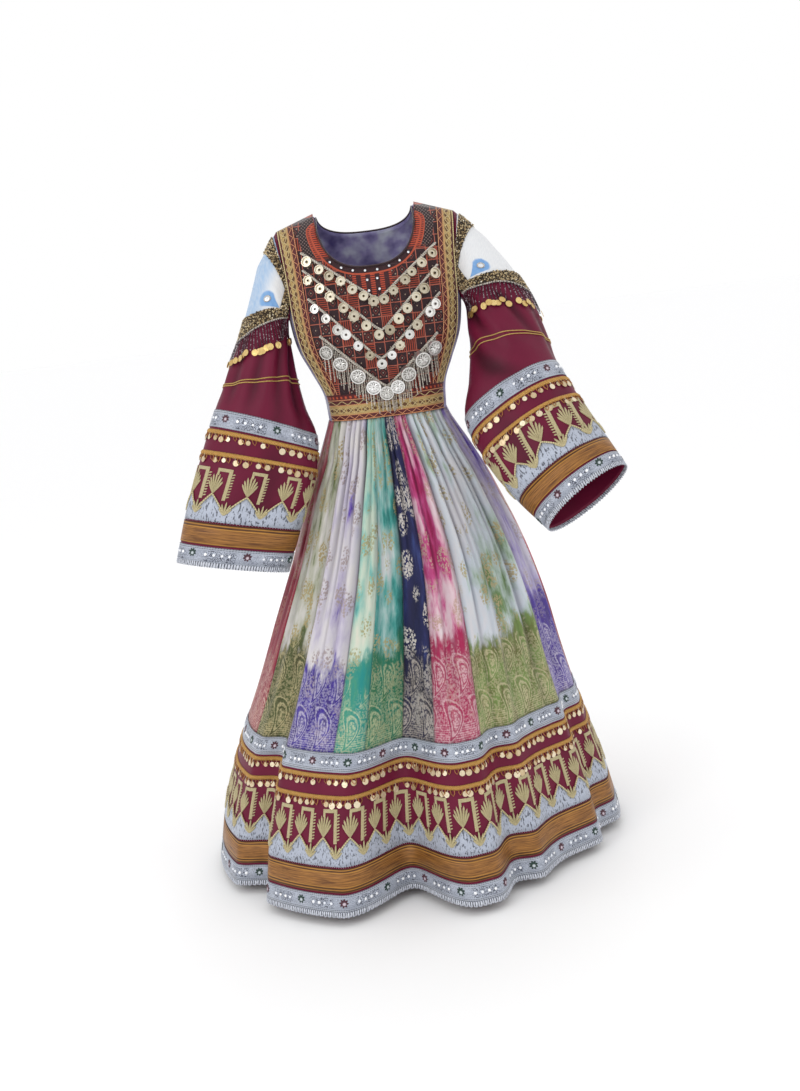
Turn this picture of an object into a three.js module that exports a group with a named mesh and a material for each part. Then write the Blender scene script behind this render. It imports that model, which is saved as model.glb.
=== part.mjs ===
// A long gathered dress in the nomad style, filled out as when it is worn, with nobody in it.
// Millimetres, +Z up, the front faces -Y, and +X is on the right of someone who looks at the front.
// The origin is the middle of the shoulder line, where the wearer's shoulders carry the dress.
// Right and left in the names are as seen from the front: "right" is the +X side.
import * as THREE from "three";

// Driving sizes of cloth and seams
const CLOTH = 1.6; // wall of the cloth
const SEAM = 0.5; // gap between two pieces that are sewn together
const TRIM_LIFT = 0.6; // gap under a trim that lies on the cloth
const TRIM = 1.2; // thickness of a ribbon trim
const WAIST_Z = -420;
const BORDER_Z = -1035; // where the gores end and the border of the skirt begins
const HEM_Z = -1325;
const OVAL_Z = -500; // from here down the sections of the skirt are true ovals
const NECK_HALF = 100; // half of the neck opening at the shoulder
const NECK_CORNER = 0.2; // the columns this near to the corner end on the shoulder
const NECK_FRONT_DROP = 122;
const NECK_BACK_DROP = 45;
const SHOULDER_SLOPE = Math.tan(THREE.MathUtils.degToRad(19));
const PANEL_EDGE = 0.94; // the front panel's edge, as a share of the bodice's half width
const BAND_EDGE = 0.76; // inner edge of the gold side band, the same way
const BODICE_ROUNDNESS = 2.6; // power of the bodice's oval sections
const NECK_ROUNDNESS = 2.6; // power of the neckline's curve
const RIDGE_ROUND = 60; // height over which the shoulders round off

const COLOURS = {
  panel: [0x4a1420, 0.8, 0.0],
  goldBand: [0xb08a4e, 0.55, 0.25],
  lilacCloth: [0x9a93b4, 0.6, 0.0],
  maroon: [0x5c1430, 0.55, 0.0],
  silver: [0xa9b0bd, 0.5, 0.3],
  braid: [0xb87a30, 0.55, 0.25],
  bronze: [0x9a6428, 0.5, 0.3],
  white: [0xdadbe0, 0.7, 0.0],
  beads: [0x6b5b45, 0.4, 0.3],
  coins: [0xcfcabd, 0.3, 0.85],
  goldCoins: [0xc79a4a, 0.3, 0.85],
  binding: [0x2b1018, 0.7, 0.0],
};

// Sections of the bodice: height, half width, depth in front and depth behind
const BODICE = [
  { z: -420, wide: 123, front: 92, back: 84 },
  { z: -365, wide: 128, front: 99, back: 86 },
  { z: -320, wide: 146, front: 112, back: 90 },
  { z: -267, wide: 168, front: 126, back: 96 },
  { z: -205, wide: 178, front: 124, back: 104 },
  { z: -150, wide: 181, front: 112, back: 106 },
  { z: -100, wide: 184, front: 96, back: 102 },
  { z: -60, wide: 188, front: 80, back: 94 },
  { z: -27, wide: 192, front: 68, back: 84 },
  { z: 0, wide: 195, front: 58, back: 74 },
];

// Columns of the bodice's cloth, as shares of its half width
const FRONT_COLUMNS = [0, 0.15, 0.3, 0.42, 0.49, 0.513, 0.62, BAND_EDGE, 0.86, PANEL_EDGE];
const BACK_COLUMNS = [0, 0.25, 0.42, 0.49, 0.513, 0.72, PANEL_EDGE];

// The armhole behind the shoulder: degrees round from the middle of the back, and height
const ARMHOLE = [
  { turn: 70, z: -60 },
  { turn: 72, z: -110 },
  { turn: 76, z: -160 },
  { turn: 82, z: -192 },
  { turn: 90, z: -205 },
  { turn: 100, z: -200 },
];
const ARMHOLE_FRONT_Z = -185; // where the armhole leaves the front panel's edge

// Sections of the skirt: height, sideways shift of its middle, half width and half depth
const SKIRT = [
  { z: -420, shift: 0, wide: 122, deep: 92 },
  { z: -440, shift: 0, wide: 129, deep: 101 },
  { z: -500, shift: 4, wide: 158, deep: 133 },
  { z: -560, shift: 6, wide: 187, deep: 166 },
  { z: -700, shift: 7, wide: 242, deep: 232 },
  { z: -840, shift: -3, wide: 293, deep: 288 },
  { z: -956, shift: -16, wide: 329, deep: 326 },
  { z: -1072, shift: -30, wide: 369, deep: 368 },
  { z: -1200, shift: -38, wide: 412, deep: 408 },
  { z: -1325, shift: -40, wide: 441, deep: 438 },
];

// Deep folds of the skirt: degrees round from the front, depth at the hem, half width in degrees
const FOLDS = [
  { turn: -54, depth: 48, half: 9 },
  { turn: -4.5, depth: 118, half: 18 },
  { turn: 27, depth: 44, half: 9 },
  { turn: 45, depth: 46, half: 22.5 },
  { turn: 67.5, depth: 34, half: 9 },
  { turn: 108, depth: 62, half: 13.5 },
  { turn: 144, depth: 84, half: 18 },
  { turn: 180, depth: 60, half: 13.5 },
  { turn: 211.5, depth: 88, half: 18 },
  { turn: 247.5, depth: 62, half: 13.5 },
];
const FOLD_GROWTH = 1.15;
const MOST_SPREAD = 1.8; // limit to how far the wall is thickened sideways on steep folds

// Gathers at the waist: how far they stand out at each height
const GATHER_RISE = [
  { z: -420, rise: 2.2 },
  { z: -440, rise: 4.0 },
  { z: -500, rise: 5.0 },
  { z: -620, rise: 4.0 },
  { z: -760, rise: 0 },
];
const GATHER_COLUMNS = 3; // columns of points on each gather

// Gores of the skirt, from the -X side across the front and round the back: their edges in degrees,
// their gathers and their colour
const GORES = [
  { name: "rose", from: -90, to: -67, gathers: 4, colour: 0xa8404f },
  { name: "olive", from: -67, to: -49, gathers: 3, colour: 0x8c8a6a },
  { name: "violet", from: -49, to: -27, gathers: 4, colour: 0xb9b2cc },
  { name: "aqua", from: -27, to: -17, gathers: 2, colour: 0x86b3a8 },
  { name: "green", from: -17, to: -5, gathers: 2, colour: 0x4f8c7b },
  { name: "navy", from: -5, to: 6.5, gathers: 2, colour: 0x232448 },
  { name: "pink", from: 6.5, to: 22, gathers: 3, colour: 0xc0527f },
  { name: "sage", from: 22, to: 63, gathers: 6, colour: 0xb4b8ae },
  { name: "lilac", from: 63, to: 87, gathers: 4, colour: 0x8d83b8 },
  { name: "back_rose", from: 87, to: 115, gathers: 4, colour: 0xa8404f },
  { name: "back_teal", from: 115, to: 139, gathers: 4, colour: 0x86b3a8 },
  { name: "back_pale", from: 139, to: 164, gathers: 4, colour: 0xcfcdd2 },
  { name: "back_navy", from: 164, to: 189, gathers: 4, colour: 0x232448 },
  { name: "back_olive", from: 189, to: 215, gathers: 4, colour: 0x8c8a6a },
  { name: "back_pink", from: 215, to: 243, gathers: 4, colour: 0xc0527f },
  { name: "back_violet", from: 243, to: 270, gathers: 4, colour: 0xb9b2cc },
];
const GORE_ROUGHNESS = 0.55;
const GORE_ROWS_FINE = [-420, -500, -620];
const GORE_ROWS_COARSE = [-760, -900, BORDER_Z];
const HEM_STEP = 4.5; // degrees between columns of the border
const HEM_ROWS = [BORDER_Z, -1180, HEM_Z];
const HEM_PANELS = 5;

// Trims of the border, as shares of its height from its top edge. The same border is on the cuffs.
// A zigzag's upper edge is at its own share on every second column.
const BORDER_TRIMS = [
  { name: "silver_top", from: 0.004, to: 0.115, colour: "silver" },
  { name: "braid_top", from: 0.125, to: 0.16, colour: "braid", ridge: 2.6 },
  { name: "braid_low", from: 0.255, to: 0.29, colour: "braid", ridge: 2.6 },
  { name: "zigzag", from: 0.52, to: 0.7, colour: "silver", valley: 0.64 },
  { name: "bronze", from: 0.712, to: 0.865, colour: "bronze" },
  { name: "silver_low", from: 0.88, to: 0.985, colour: "silver" },
];

// Rings of the sleeves from the arm's top to the cuff: their outer point, inner point and half depth.
// The +X arm is bent forward at the elbow, and the -X arm hangs.
const SLEEVES = {
  right: {
    side: 1,
    rings: [
      { ox: 238, oy: -10, oz: -88, ix: 188, iy: -12, iz: -232, deep: 66 },
      { ox: 282, oy: -26, oz: -152, ix: 186, iy: -30, iz: -272, deep: 74 },
      { ox: 314, oy: -46, oz: -214, ix: 182, iy: -58, iz: -312, deep: 78 },
      { ox: 338, oy: -78, oz: -296, ix: 168, iy: -96, iz: -378, deep: 80 },
      { ox: 350, oy: -112, oz: -356, ix: 152, iy: -130, iz: -447, deep: 80 },
      { ox: 384, oy: -168, oz: -436, ix: 186, iy: -168, iz: -535, deep: 78 },
      { ox: 410, oy: -226, oz: -494, ix: 232, iy: -202, iz: -604, deep: 75 },
      { ox: 430, oy: -275, oz: -542, ix: 283, iy: -228, iz: -662, deep: 72 },
    ],
  },
  left: {
    side: -1,
    rings: [
      { ox: -226, oy: -6, oz: -92, ix: -184, iy: -8, iz: -236, deep: 64 },
      { ox: -256, oy: -14, oz: -168, ix: -180, iy: -18, iz: -280, deep: 70 },
      { ox: -286, oy: -26, oz: -240, ix: -176, iy: -30, iz: -325, deep: 72 },
      { ox: -320, oy: -44, oz: -312, ix: -166, iy: -46, iz: -388, deep: 72 },
      { ox: -350, oy: -58, oz: -368, ix: -150, iy: -62, iz: -447, deep: 70 },
      { ox: -394, oy: -74, oz: -466, ix: -164, iy: -80, iz: -530, deep: 66 },
      { ox: -434, oy: -90, oz: -565, ix: -204, iy: -94, iz: -618, deep: 62 },
      { ox: -464, oy: -100, oz: -654, ix: -239, iy: -104, iz: -702, deep: 60 },
    ],
  },
};
const SLEEVE_COLUMNS = 20;
const ARMHOLE_GAP = 0.8; // between the bodice and a sleeve
const CAP_ROWS = 3; // rows of the sleeve that the shoulder patch covers
const CAP_RING = 3; // the patch reaches this ring on the outside of the arm
const CAP_UNDERARM = 0.25; // and this part of the first ring under the arm
const CAP_CURVE = 1.8; // power of the curve of its lower edge between them
const BORDER_RING = 5; // the sleeve's border starts here
const BORDER_LEVELS = [BORDER_RING, 6, 7.12, 8]; // rings on which the border's rows lie
const PATCH_HALF_COLUMNS = 7; // the patch covers this many columns each way from the arm's outside
const PATCH_ROWS = [0.12, 1, 2, CAP_ROWS]; // rows of the sleeve on which the patch has its points
const FRAME_ROWS = [0.16, 0.62, 1, 2, 2.4, 2.96]; // the same for the beaded border round the patch

// Strings of coins on the chest: the height of the point of the V and of its ends, half width,
// coins, coin radius, and how far the back and the front of the coins stand off the cloth
const COIN_ROWS = [
  { name: "coins_1", tip: -190, end: -92, half: 132, coins: 13, radius: 10, low: 1.15, high: 2.8 },
  { name: "coins_2", tip: -253, end: -124, half: 132, coins: 13, radius: 10, low: 1.15, high: 2.8 },
  { name: "coins_3", tip: -308, end: -180, half: 129, coins: 13, radius: 9.8, low: 1.6, high: 3.2 },
  { name: "coins_4", tip: -364, end: -254, half: 115, coins: 9, radius: 12.6, low: 6.6, high: 8.4 },
];
const COIN_RIM = [-90, -45, 0, 45, 90]; // points on the lower rim of a coin, in degrees
const COIN_LEAN = 0.5; // how far the coins' rims follow the slope of the string
const STRING = 3; // half of the height of the cord that carries coins or strands
const CHEST_PITCH = 7.2; // between strands of the fringe on the chest
const CHEST_FRINGE = 54;
const CHEST_LIFT = 2.8;
const STRAND = 2; // width and thickness of a beaded strand
const SHOULDER_FRINGE = 46;
const SHOULDER_STRANDS = 18;
const SHOULDER_COIN = 6.5;

const degrees = THREE.MathUtils.degToRad;
const vector = (x, y, z) => new THREE.Vector3(x, y, z);
const mix = (a, b, share) => a.clone().lerp(b, share);

// Reads a column of a table at a value of its first column, along a smooth curve through its rows
function read(table, column, at, key = "z") {
  const rising = table[0][key] < table[table.length - 1][key];
  const rows = rising ? table : [...table].reverse();
  const last = rows.length - 1;
  const x = Math.min(Math.max(at, rows[0][key]), rows[last][key]);
  let i = 0;
  while (i < last - 1 && x > rows[i + 1][key]) i += 1;
  const slope = (a, b) => (rows[b][column] - rows[a][column]) / (rows[b][key] - rows[a][key]);
  const start = slope(Math.max(i - 1, 0), i + 1);
  const end = slope(i, Math.min(i + 2, last));
  const width = rows[i + 1][key] - rows[i][key];
  const t = (x - rows[i][key]) / width;
  const ease = 3 * t ** 2 - 2 * t ** 3;
  const bend = (t ** 3 - 2 * t ** 2 + t) * start + (t ** 3 - t ** 2) * end;
  return (1 - ease) * rows[i][column] + ease * rows[i + 1][column] + width * bend;
}

// Closed solids from points and triangles
class Solid {
  constructor() {
    this.points = [];
    this.faces = [];
  }
  add(point) {
    this.points.push(point);
    return this.points.length - 1;
  }
  face(a, b, c) {
    this.faces.push(a, b, c);
  }
  quad(a, b, c, d) {
    this.face(a, b, c);
    this.face(a, c, d);
  }
  // The geometry, turned so that its faces point out
  geometry() {
    const p = this.points;
    let volume = 0;
    for (let i = 0; i < this.faces.length; i += 3) {
      const [a, b, c] = [0, 1, 2].map((k) => p[this.faces[i + k]]);
      volume += a.dot(b.clone().cross(c));
    }
    const order = volume < 0 ? [...this.faces].reverse() : this.faces;
    return new THREE.BufferGeometry()
      .setAttribute("position", new THREE.Float32BufferAttribute(p.flatMap((v) => v.toArray()), 3))
      .setIndex(order);
  }
}

// A wall of cloth over a grid of cells. grid[row][column] is { out, in }, keep(row, column) says
// which cells are cloth, and the diagonal of each cell is the one that lies nearer the inside.
function cellWall(grid, { closed = false, keep = () => true } = {}) {
  const solid = new Solid();
  const rows = grid.length;
  const columns = grid[0].length;
  const cells = closed ? columns : columns - 1;
  const ids = grid.map((row) => row.map(() => null));
  const id = (k, i) => {
    const column = i % columns;
    ids[k][column] ??= { out: solid.add(grid[k][column].out), in: solid.add(grid[k][column].in) };
    return ids[k][column];
  };
  const kept = (k, i) => {
    if (k < 0 || k > rows - 2) return false;
    if (!closed && (i < 0 || i > cells - 1)) return false;
    return keep(k, (i + cells) % cells);
  };
  for (let k = 0; k < rows - 1; k += 1) {
    for (let i = 0; i < cells; i += 1) {
      if (!kept(k, i)) continue;
      const [a, b, c, d] = [id(k, i), id(k + 1, i), id(k + 1, i + 1), id(k, i + 1)];
      const [pa, pb, pc, pd] = [a, b, c, d].map((v) => solid.points[v.out]);
      const inward = grid[k][i % columns].in.clone().sub(grid[k][i % columns].out);
      const ac = pa.clone().add(pc).dot(inward);
      const bd = pb.clone().add(pd).dot(inward);
      const [p, q, r, s] = ac > bd ? [a, b, c, d] : [b, c, d, a];
      solid.quad(p.out, q.out, r.out, s.out);
      solid.quad(p.in, s.in, r.in, q.in);
      if (!kept(k - 1, i)) solid.quad(a.out, d.out, d.in, a.in);
      if (!kept(k + 1, i)) solid.quad(c.out, b.out, b.in, c.in);
      if (!kept(k, i - 1)) solid.quad(b.out, a.out, a.in, b.in);
      if (!kept(k, i + 1)) solid.quad(d.out, c.out, c.in, d.in);
    }
  }
  return solid.geometry();
}

// A wall whose rows may have different numbers of points. Each point is { u, out, in }.
function rowWall(rows) {
  const solid = new Solid();
  const ids = rows.map((row) =>
    row.map((p) => ({ u: p.u, out: solid.add(p.out), in: solid.add(p.in) })),
  );
  const both = (a, b, c) => {
    solid.face(a.out, b.out, c.out);
    solid.face(a.in, c.in, b.in);
  };
  for (let k = 0; k < ids.length - 1; k += 1) {
    const [top, low] = [ids[k], ids[k + 1]];
    let [i, j] = [0, 0];
    while (i < top.length - 1 || j < low.length - 1) {
      const stepTop = j === low.length - 1 || (i < top.length - 1 && top[i + 1].u < low[j + 1].u);
      if (stepTop) {
        both(top[i], low[j], top[i + 1]);
        i += 1;
      } else {
        both(top[i], low[j], low[j + 1]);
        j += 1;
      }
    }
    const [leftTop, leftLow] = [top[0], low[0]];
    const [rightTop, rightLow] = [top.at(-1), low.at(-1)];
    solid.quad(leftLow.out, leftTop.out, leftTop.in, leftLow.in);
    solid.quad(rightTop.out, rightLow.out, rightLow.in, rightTop.in);
  }
  const [first, end] = [ids[0], ids.at(-1)];
  for (let i = 0; i < first.length - 1; i += 1) {
    solid.quad(first[i].out, first[i + 1].out, first[i + 1].in, first[i].in);
  }
  for (let i = 0; i < end.length - 1; i += 1) {
    solid.quad(end[i + 1].out, end[i].out, end[i].in, end[i + 1].in);
  }
  return solid.geometry();
}

// A bar swept through sections, each a loop of the same number of points
function sweep(sections, closed) {
  const solid = new Solid();
  const ids = sections.map((s) => s.map((p) => solid.add(p)));
  const count = ids[0].length;
  const spans = closed ? ids.length : ids.length - 1;
  for (let k = 0; k < spans; k += 1) {
    const [a, b] = [ids[k], ids[(k + 1) % ids.length]];
    for (let i = 0; i < count; i += 1) {
      const j = (i + 1) % count;
      solid.quad(a[i], b[i], b[j], a[j]);
    }
  }
  if (!closed) {
    const [first, last] = [ids[0], ids.at(-1)];
    for (let i = 1; i < count - 1; i += 1) {
      solid.face(first[0], first[i], first[i + 1]);
      solid.face(last[0], last[i + 1], last[i]);
    }
  }
  return solid.geometry();
}

const dress = new THREE.Group();
dress.name = "dress";

function piece(name, geometry, [colour, roughness, metalness]) {
  const material = new THREE.MeshStandardMaterial({ color: colour, roughness, metalness });
  const mesh = new THREE.Mesh(geometry, material);
  mesh.name = name;
  dress.add(mesh);
}

// Bodice: oval sections that round off at the shoulders
const SEAM_TURN = SEAM / 2 / BODICE[0].wide; // half a seam as an angle, in radians
const angleOf = (share) => Math.asin(share ** (BODICE_ROUNDNESS / 2));
const EDGE_ANGLE = angleOf(PANEL_EDGE);

function shoulderLine(x) {
  return -Math.max(Math.abs(x) - NECK_HALF, 0) * SHOULDER_SLOPE;
}

function bodicePoint(angle, z) {
  const power = 2 / BODICE_ROUNDNESS;
  const [s, c] = [Math.sin(angle), Math.cos(angle)];
  const x = read(BODICE, "wide", z) * Math.sign(s) * Math.abs(s) ** power;
  const depth = read(BODICE, c > 0 ? "front" : "back", z);
  const below = Math.min(Math.max((shoulderLine(x) - z) / RIDGE_ROUND, 0), 1);
  const ridge = Math.sqrt(1 - (1 - below) ** 2);
  return vector(x, -depth * ridge * Math.sign(c) * Math.abs(c) ** power, z);
}

function bodiceNormal(angle, z) {
  const x = bodicePoint(angle, z).x;
  if (shoulderLine(x) - z < 1) {
    return vector(Math.sign(x) * SHOULDER_SLOPE, 0, 1).normalize();
  }
  const [turn, rise] = [0.01, 0.5];
  const across = bodicePoint(angle + turn, z).sub(bodicePoint(angle - turn, z));
  const up = bodicePoint(angle, z + rise).sub(bodicePoint(angle, z - rise));
  return across.cross(up).normalize();
}

// The opening of the neck, as a height over x
function neckLine(x, drop) {
  const share = Math.min(Math.abs(x) / NECK_HALF, 1);
  return -drop * (1 - share ** NECK_ROUNDNESS) ** (1 / NECK_ROUNDNESS);
}

// Height at which a column of cloth ends: on the neckline, on the shoulder or in the armhole
// by halving the distance to it again and again
function columnTop(angle, drop) {
  const steps = 30;
  let z = -RIDGE_ROUND;
  for (let i = 0; i < steps; i += 1) {
    const x = bodicePoint(angle, z).x;
    const end = Math.abs(x) < NECK_HALF - NECK_CORNER ? neckLine(x, drop) : shoulderLine(x);
    z += (end - z) / 2;
  }
  return z;
}

const BODICE_ROWS_LOW = [WAIST_Z, -365, -320, -267, -205];
const BODICE_ROWS_HIGH = 4; // rows from the underarm to the top of each column

function bodiceColumn(angle, top) {
  const low = BODICE_ROWS_LOW.at(-1);
  const heights = [...BODICE_ROWS_LOW];
  for (let k = 1; k <= BODICE_ROWS_HIGH; k += 1) {
    heights.push(low + ((top - low) * k) / BODICE_ROWS_HIGH);
  }
  return heights.map((z) => ({ out: bodicePoint(angle, z), normal: bodiceNormal(angle, z) }));
}

// Turns columns of cloth into rows of wall points, moved out by a lift, with a thickness
function rowsOf(columns, lift, thick) {
  return columns[0].map((_, k) =>
    columns.map((column) => {
      const { out, normal } = column[k];
      return {
        out: out.clone().addScaledVector(normal, lift + thick),
        in: out.clone().addScaledVector(normal, lift),
      };
    }),
  );
}

const mirrorShares = (shares) => [...shares.slice(1).map((s) => -s).reverse(), ...shares];

function frontColumns() {
  return mirrorShares(FRONT_COLUMNS).map((share) => {
    const edge = Math.abs(share) === PANEL_EDGE ? SEAM_TURN : 0;
    const angle = Math.sign(share) * (angleOf(Math.abs(share)) - edge);
    return bodiceColumn(angle, columnTop(angle, NECK_FRONT_DROP));
  });
}

function backTurns() {
  const half = BACK_COLUMNS.map((share) => ({ turn: angleOf(share), z: null }));
  for (const row of ARMHOLE) half.push({ turn: degrees(row.turn), z: row.z });
  half.push({ turn: Math.PI - EDGE_ANGLE - SEAM_TURN, z: ARMHOLE_FRONT_Z });
  return half;
}

function backColumns() {
  const half = backTurns();
  const column = ({ turn, z }, side) => {
    const angle = Math.PI - side * turn;
    return bodiceColumn(angle, z ?? columnTop(angle, NECK_BACK_DROP));
  };
  const plus = half.map((entry) => column(entry, 1)).reverse();
  const minus = half.slice(1).map((entry) => column(entry, -1));
  return [...plus, ...minus];
}

// The two panels part by the seam's gap at the waist and on the shoulders
function parted(columns, side) {
  for (const column of columns) {
    column[0].out.z += SEAM / 2;
    const top = column.at(-1);
    if (Math.abs(top.out.y) < 1) top.out.y += (side * SEAM) / 2;
  }
  return columns;
}

const front = parted(frontColumns(), -1);
const back = parted(backColumns(), 1);
piece("bodice_front", cellWall(rowsOf(front, -CLOTH, CLOTH)), COLOURS.panel);
piece("bodice_back", cellWall(rowsOf(back, -CLOTH, CLOTH)), COLOURS.lilacCloth);

// Gold bands down both sides of the front panel and along the waist
const BAND_SHORT = 0.25; // share of the last column's width by which a side band stops short

function sideBand(columns) {
  const [inner, middle, edge] = columns;
  const outer = edge.map((p, k) => ({ ...p, out: mix(p.out, middle[k].out, BAND_SHORT) }));
  const rows = rowsOf([inner, middle, outer], TRIM_LIFT, TRIM).slice(1);
  for (const point of rows[0]) {
    for (const end of [point.out, point.in]) end.z += 2 * SEAM;
  }
  for (const point of rows.at(-1)) {
    for (const end of [point.out, point.in]) end.y -= TRIM + SEAM;
  }
  return cellWall(rows);
}
piece("side_band_right", sideBand(front.slice(-3)), COLOURS.goldBand);
piece("side_band_left", sideBand(front.slice(0, 3).reverse()), COLOURS.goldBand);
piece("waist_band", cellWall(rowsOf(front, TRIM_LIFT, TRIM).slice(0, 2)), COLOURS.goldBand);

// Binding round the neck: a narrow roll that stands on the raw edge of the front and the back
const BINDING = 1.8; // half of its width

function neckBinding() {
  const tops = (columns) =>
    columns
      .map((column) => column.at(-1))
      .filter(({ out }) => Math.abs(out.x) < NECK_HALF - 1)
      .sort((a, b) => a.out.x - b.out.x);
  const corner = (side) => ({
    out: vector(side * NECK_HALF, 0, 0),
    normal: vector(0, 0, 1),
  });
  const loop = [...tops(front), corner(1), ...tops(back).reverse(), corner(-1)];
  const sections = loop.map(({ out, normal }, i) => {
    const arrive = out.clone().sub(loop.at(i - 1).out).normalize();
    const leave = loop[(i + 1) % loop.length].out.clone().sub(out).normalize();
    const along = arrive.clone().add(leave).normalize();
    const up = normal.clone().cross(along).normalize();
    if (up.dot(vector(-out.x, -out.y, NECK_HALF / 2)) < 0) up.negate();
    const mitre = 1 / Math.max(along.dot(arrive), 0.6);
    const centre = out.clone().addScaledVector(normal, -CLOTH / 2);
    const move = (rise, thick) =>
      centre.clone().addScaledVector(up, rise * mitre).addScaledVector(normal, thick);
    const foot = SEAM;
    return [
      move(foot, 0),
      move(foot + BINDING, BINDING),
      move(foot + 2 * BINDING, 0),
      move(foot + BINDING, -BINDING),
    ];
  });
  return sweep(sections, true);
}
piece("neck_binding", neckBinding(), COLOURS.binding);

// Strings of coins in a V on the chest, the lowest one with a beaded fringe
function chestAngle(x, z) {
  return Math.sign(x) * angleOf(Math.min(Math.abs(x) / read(BODICE, "wide", z), 0.999));
}

function chestPoint(x, z, lift) {
  const angle = chestAngle(x, z);
  return bodicePoint(angle, z).addScaledVector(bodiceNormal(angle, z), lift);
}

function stringHeight(row, x) {
  return row.tip + (row.end - row.tip) * (Math.abs(x) / row.half);
}

// A string of coins: a thin strip whose lower edge follows the touching rims of the coins. Its upper
// edge has a point over each coin and one between each two.
function coinString(row) {
  const point = (x, z, u) => ({ u, out: chestPoint(x, z, row.high), in: chestPoint(x, z, row.low) });
  const [top, low] = [[], []];
  const pitch = (2 * row.half) / row.coins;
  const slope = (row.end - row.tip) / row.half;
  for (let i = 0; i < row.coins; i += 1) {
    const x = -row.half + (i + 0.5) * pitch;
    const z = stringHeight(row, x) - row.radius * 0.8;
    top.push(point(x, stringHeight(row, x) + STRING, i + 0.5));
    if (i < row.coins - 1) {
      const between = x + pitch / 2;
      top.push(point(between, stringHeight(row, between) + STRING, i + 1));
    }
    for (const turn of COIN_RIM) {
      const [side, down] = [row.radius * Math.sin(degrees(turn)), row.radius * Math.cos(degrees(turn))];
      low.push(point(x + side, z - down + Math.sign(x) * slope * side * COIN_LEAN, i + 0.5 + turn / 200));
    }
  }
  return rowWall([top, low]);
}

// A fringe: a narrow strip along its top and strands that hang from it, each with a coin or a plain
// end. Each strand is { top, root: [left, right], neck: [left, right], end: [points] }, and each
// point is { out, in }.
function comb(strands) {
  const solid = new Solid();
  const put = (p) => ({ out: solid.add(p.out), in: solid.add(p.in) });
  const both = (a, b, c) => {
    solid.face(a.out, b.out, c.out);
    solid.face(a.in, c.in, b.in);
  };
  const rim = (a, b) => solid.quad(a.out, b.out, b.in, a.in);
  const all = strands.map(({ top, root, neck, end }) => ({
    top: put(top),
    root: root.map(put),
    neck: neck.map(put),
    end: end.map(put),
  }));
  all.forEach(({ top, root, neck, end }, i) => {
    both(top, root[0], neck[0]);
    both(top, neck[0], neck[1]);
    both(top, neck[1], root[1]);
    const loop = [neck[0], ...end, neck[1]];
    for (let k = 1; k < loop.length - 1; k += 1) both(loop[0], loop[k], loop[k + 1]);
    const edge = [root[0], ...loop, root[1]];
    for (let k = 0; k < edge.length - 1; k += 1) rim(edge[k + 1], edge[k]);
    const next = all[i + 1];
    if (!next) return;
    both(top, root[1], next.root[0]);
    both(top, next.root[0], next.top);
    rim(next.root[0], root[1]);
    rim(top, next.top);
  });
  const [first, last] = [all[0], all.at(-1)];
  rim(first.root[0], first.top);
  rim(last.top, last.root[1]);
  return solid.geometry();
}

function chestFringe() {
  const row = COIN_ROWS.at(-1);
  const count = Math.floor((row.half - STRAND) / CHEST_PITCH);
  const strands = [];
  for (let i = -count; i <= count; i += 1) {
    const x = i * CHEST_PITCH;
    const point = (side, z) => ({
      out: chestPoint(x + side, z, CHEST_LIFT + STRAND),
      in: chestPoint(x + side, z, CHEST_LIFT),
    });
    const top = stringHeight(row, x);
    const root = top - STRING * 2;
    const low = Math.max(top - CHEST_FRINGE, WAIST_Z + STRING);
    const half = STRAND / 2;
    strands.push({
      top: point(0, top),
      root: [point(-half, root), point(half, root)],
      neck: [point(-half, low), point(half, low)],
      end: [],
    });
  }
  return comb(strands);
}

for (const row of COIN_ROWS) piece(row.name, coinString(row), COLOURS.coins);
piece("chest_fringe", chestFringe(), COLOURS.coins);

// Sleeves
function ringAt(rings, at) {
  const table = rings.map((ring, i) => ({ ...ring, n: i + 1 }));
  const get = (name) => read(table, name, at, "n");
  const outer = vector(get("ox"), get("oy"), get("oz"));
  const inner = vector(get("ix"), get("iy"), get("iz"));
  return { outer, inner, centre: mix(outer, inner, 0.5), deep: get("deep") };
}

function ringPoint(rings, at, turn) {
  const { outer, inner, centre, deep } = ringAt(rings, at);
  const near = 0.3;
  const [before, after] = [at - near, at + near].map((n) => ringAt(rings, n).centre);
  const axis = after.sub(before);
  const major = outer.clone().sub(inner);
  const minor = axis.cross(major).normalize();
  if (minor.y > 0) minor.negate();
  return centre
    .clone()
    .addScaledVector(major, Math.cos(turn) / 2)
    .addScaledVector(minor, deep * Math.sin(turn));
}

// The armhole as a loop from the shoulder's tip down the front, under the arm and up the back
function armholeLoop(side) {
  const loop = [];
  const tip = columnTop(EDGE_ANGLE, NECK_FRONT_DROP);
  const steps = 10;
  for (let i = 0; i <= steps; i += 1) {
    loop.push(bodicePoint(EDGE_ANGLE, tip + ((ARMHOLE_FRONT_Z - tip) * i) / steps));
  }
  for (const { turn, z } of [...ARMHOLE].reverse()) {
    loop.push(bodicePoint(Math.PI - degrees(turn), z));
  }
  for (const point of loop) point.x *= side;
  return loop;
}

function alongLoop(loop, share) {
  const lengths = loop.map((p, i) => p.distanceTo(loop[(i + 1) % loop.length]));
  let left = (share - Math.floor(share)) * lengths.reduce((a, b) => a + b, 0);
  let i = 0;
  while (i < loop.length - 1 && left > lengths[i]) {
    left -= lengths[i];
    i += 1;
  }
  return mix(loop[i], loop[(i + 1) % loop.length], left / lengths[i]);
}

function sleevePoint({ rings, side }, loop, at, share) {
  const turn = share * 2 * Math.PI;
  if (at >= 1) return ringPoint(rings, at, turn);
  const start = alongLoop(loop, share);
  start.x += side * ARMHOLE_GAP;
  return mix(start, ringPoint(rings, 1, turn), at);
}

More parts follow.
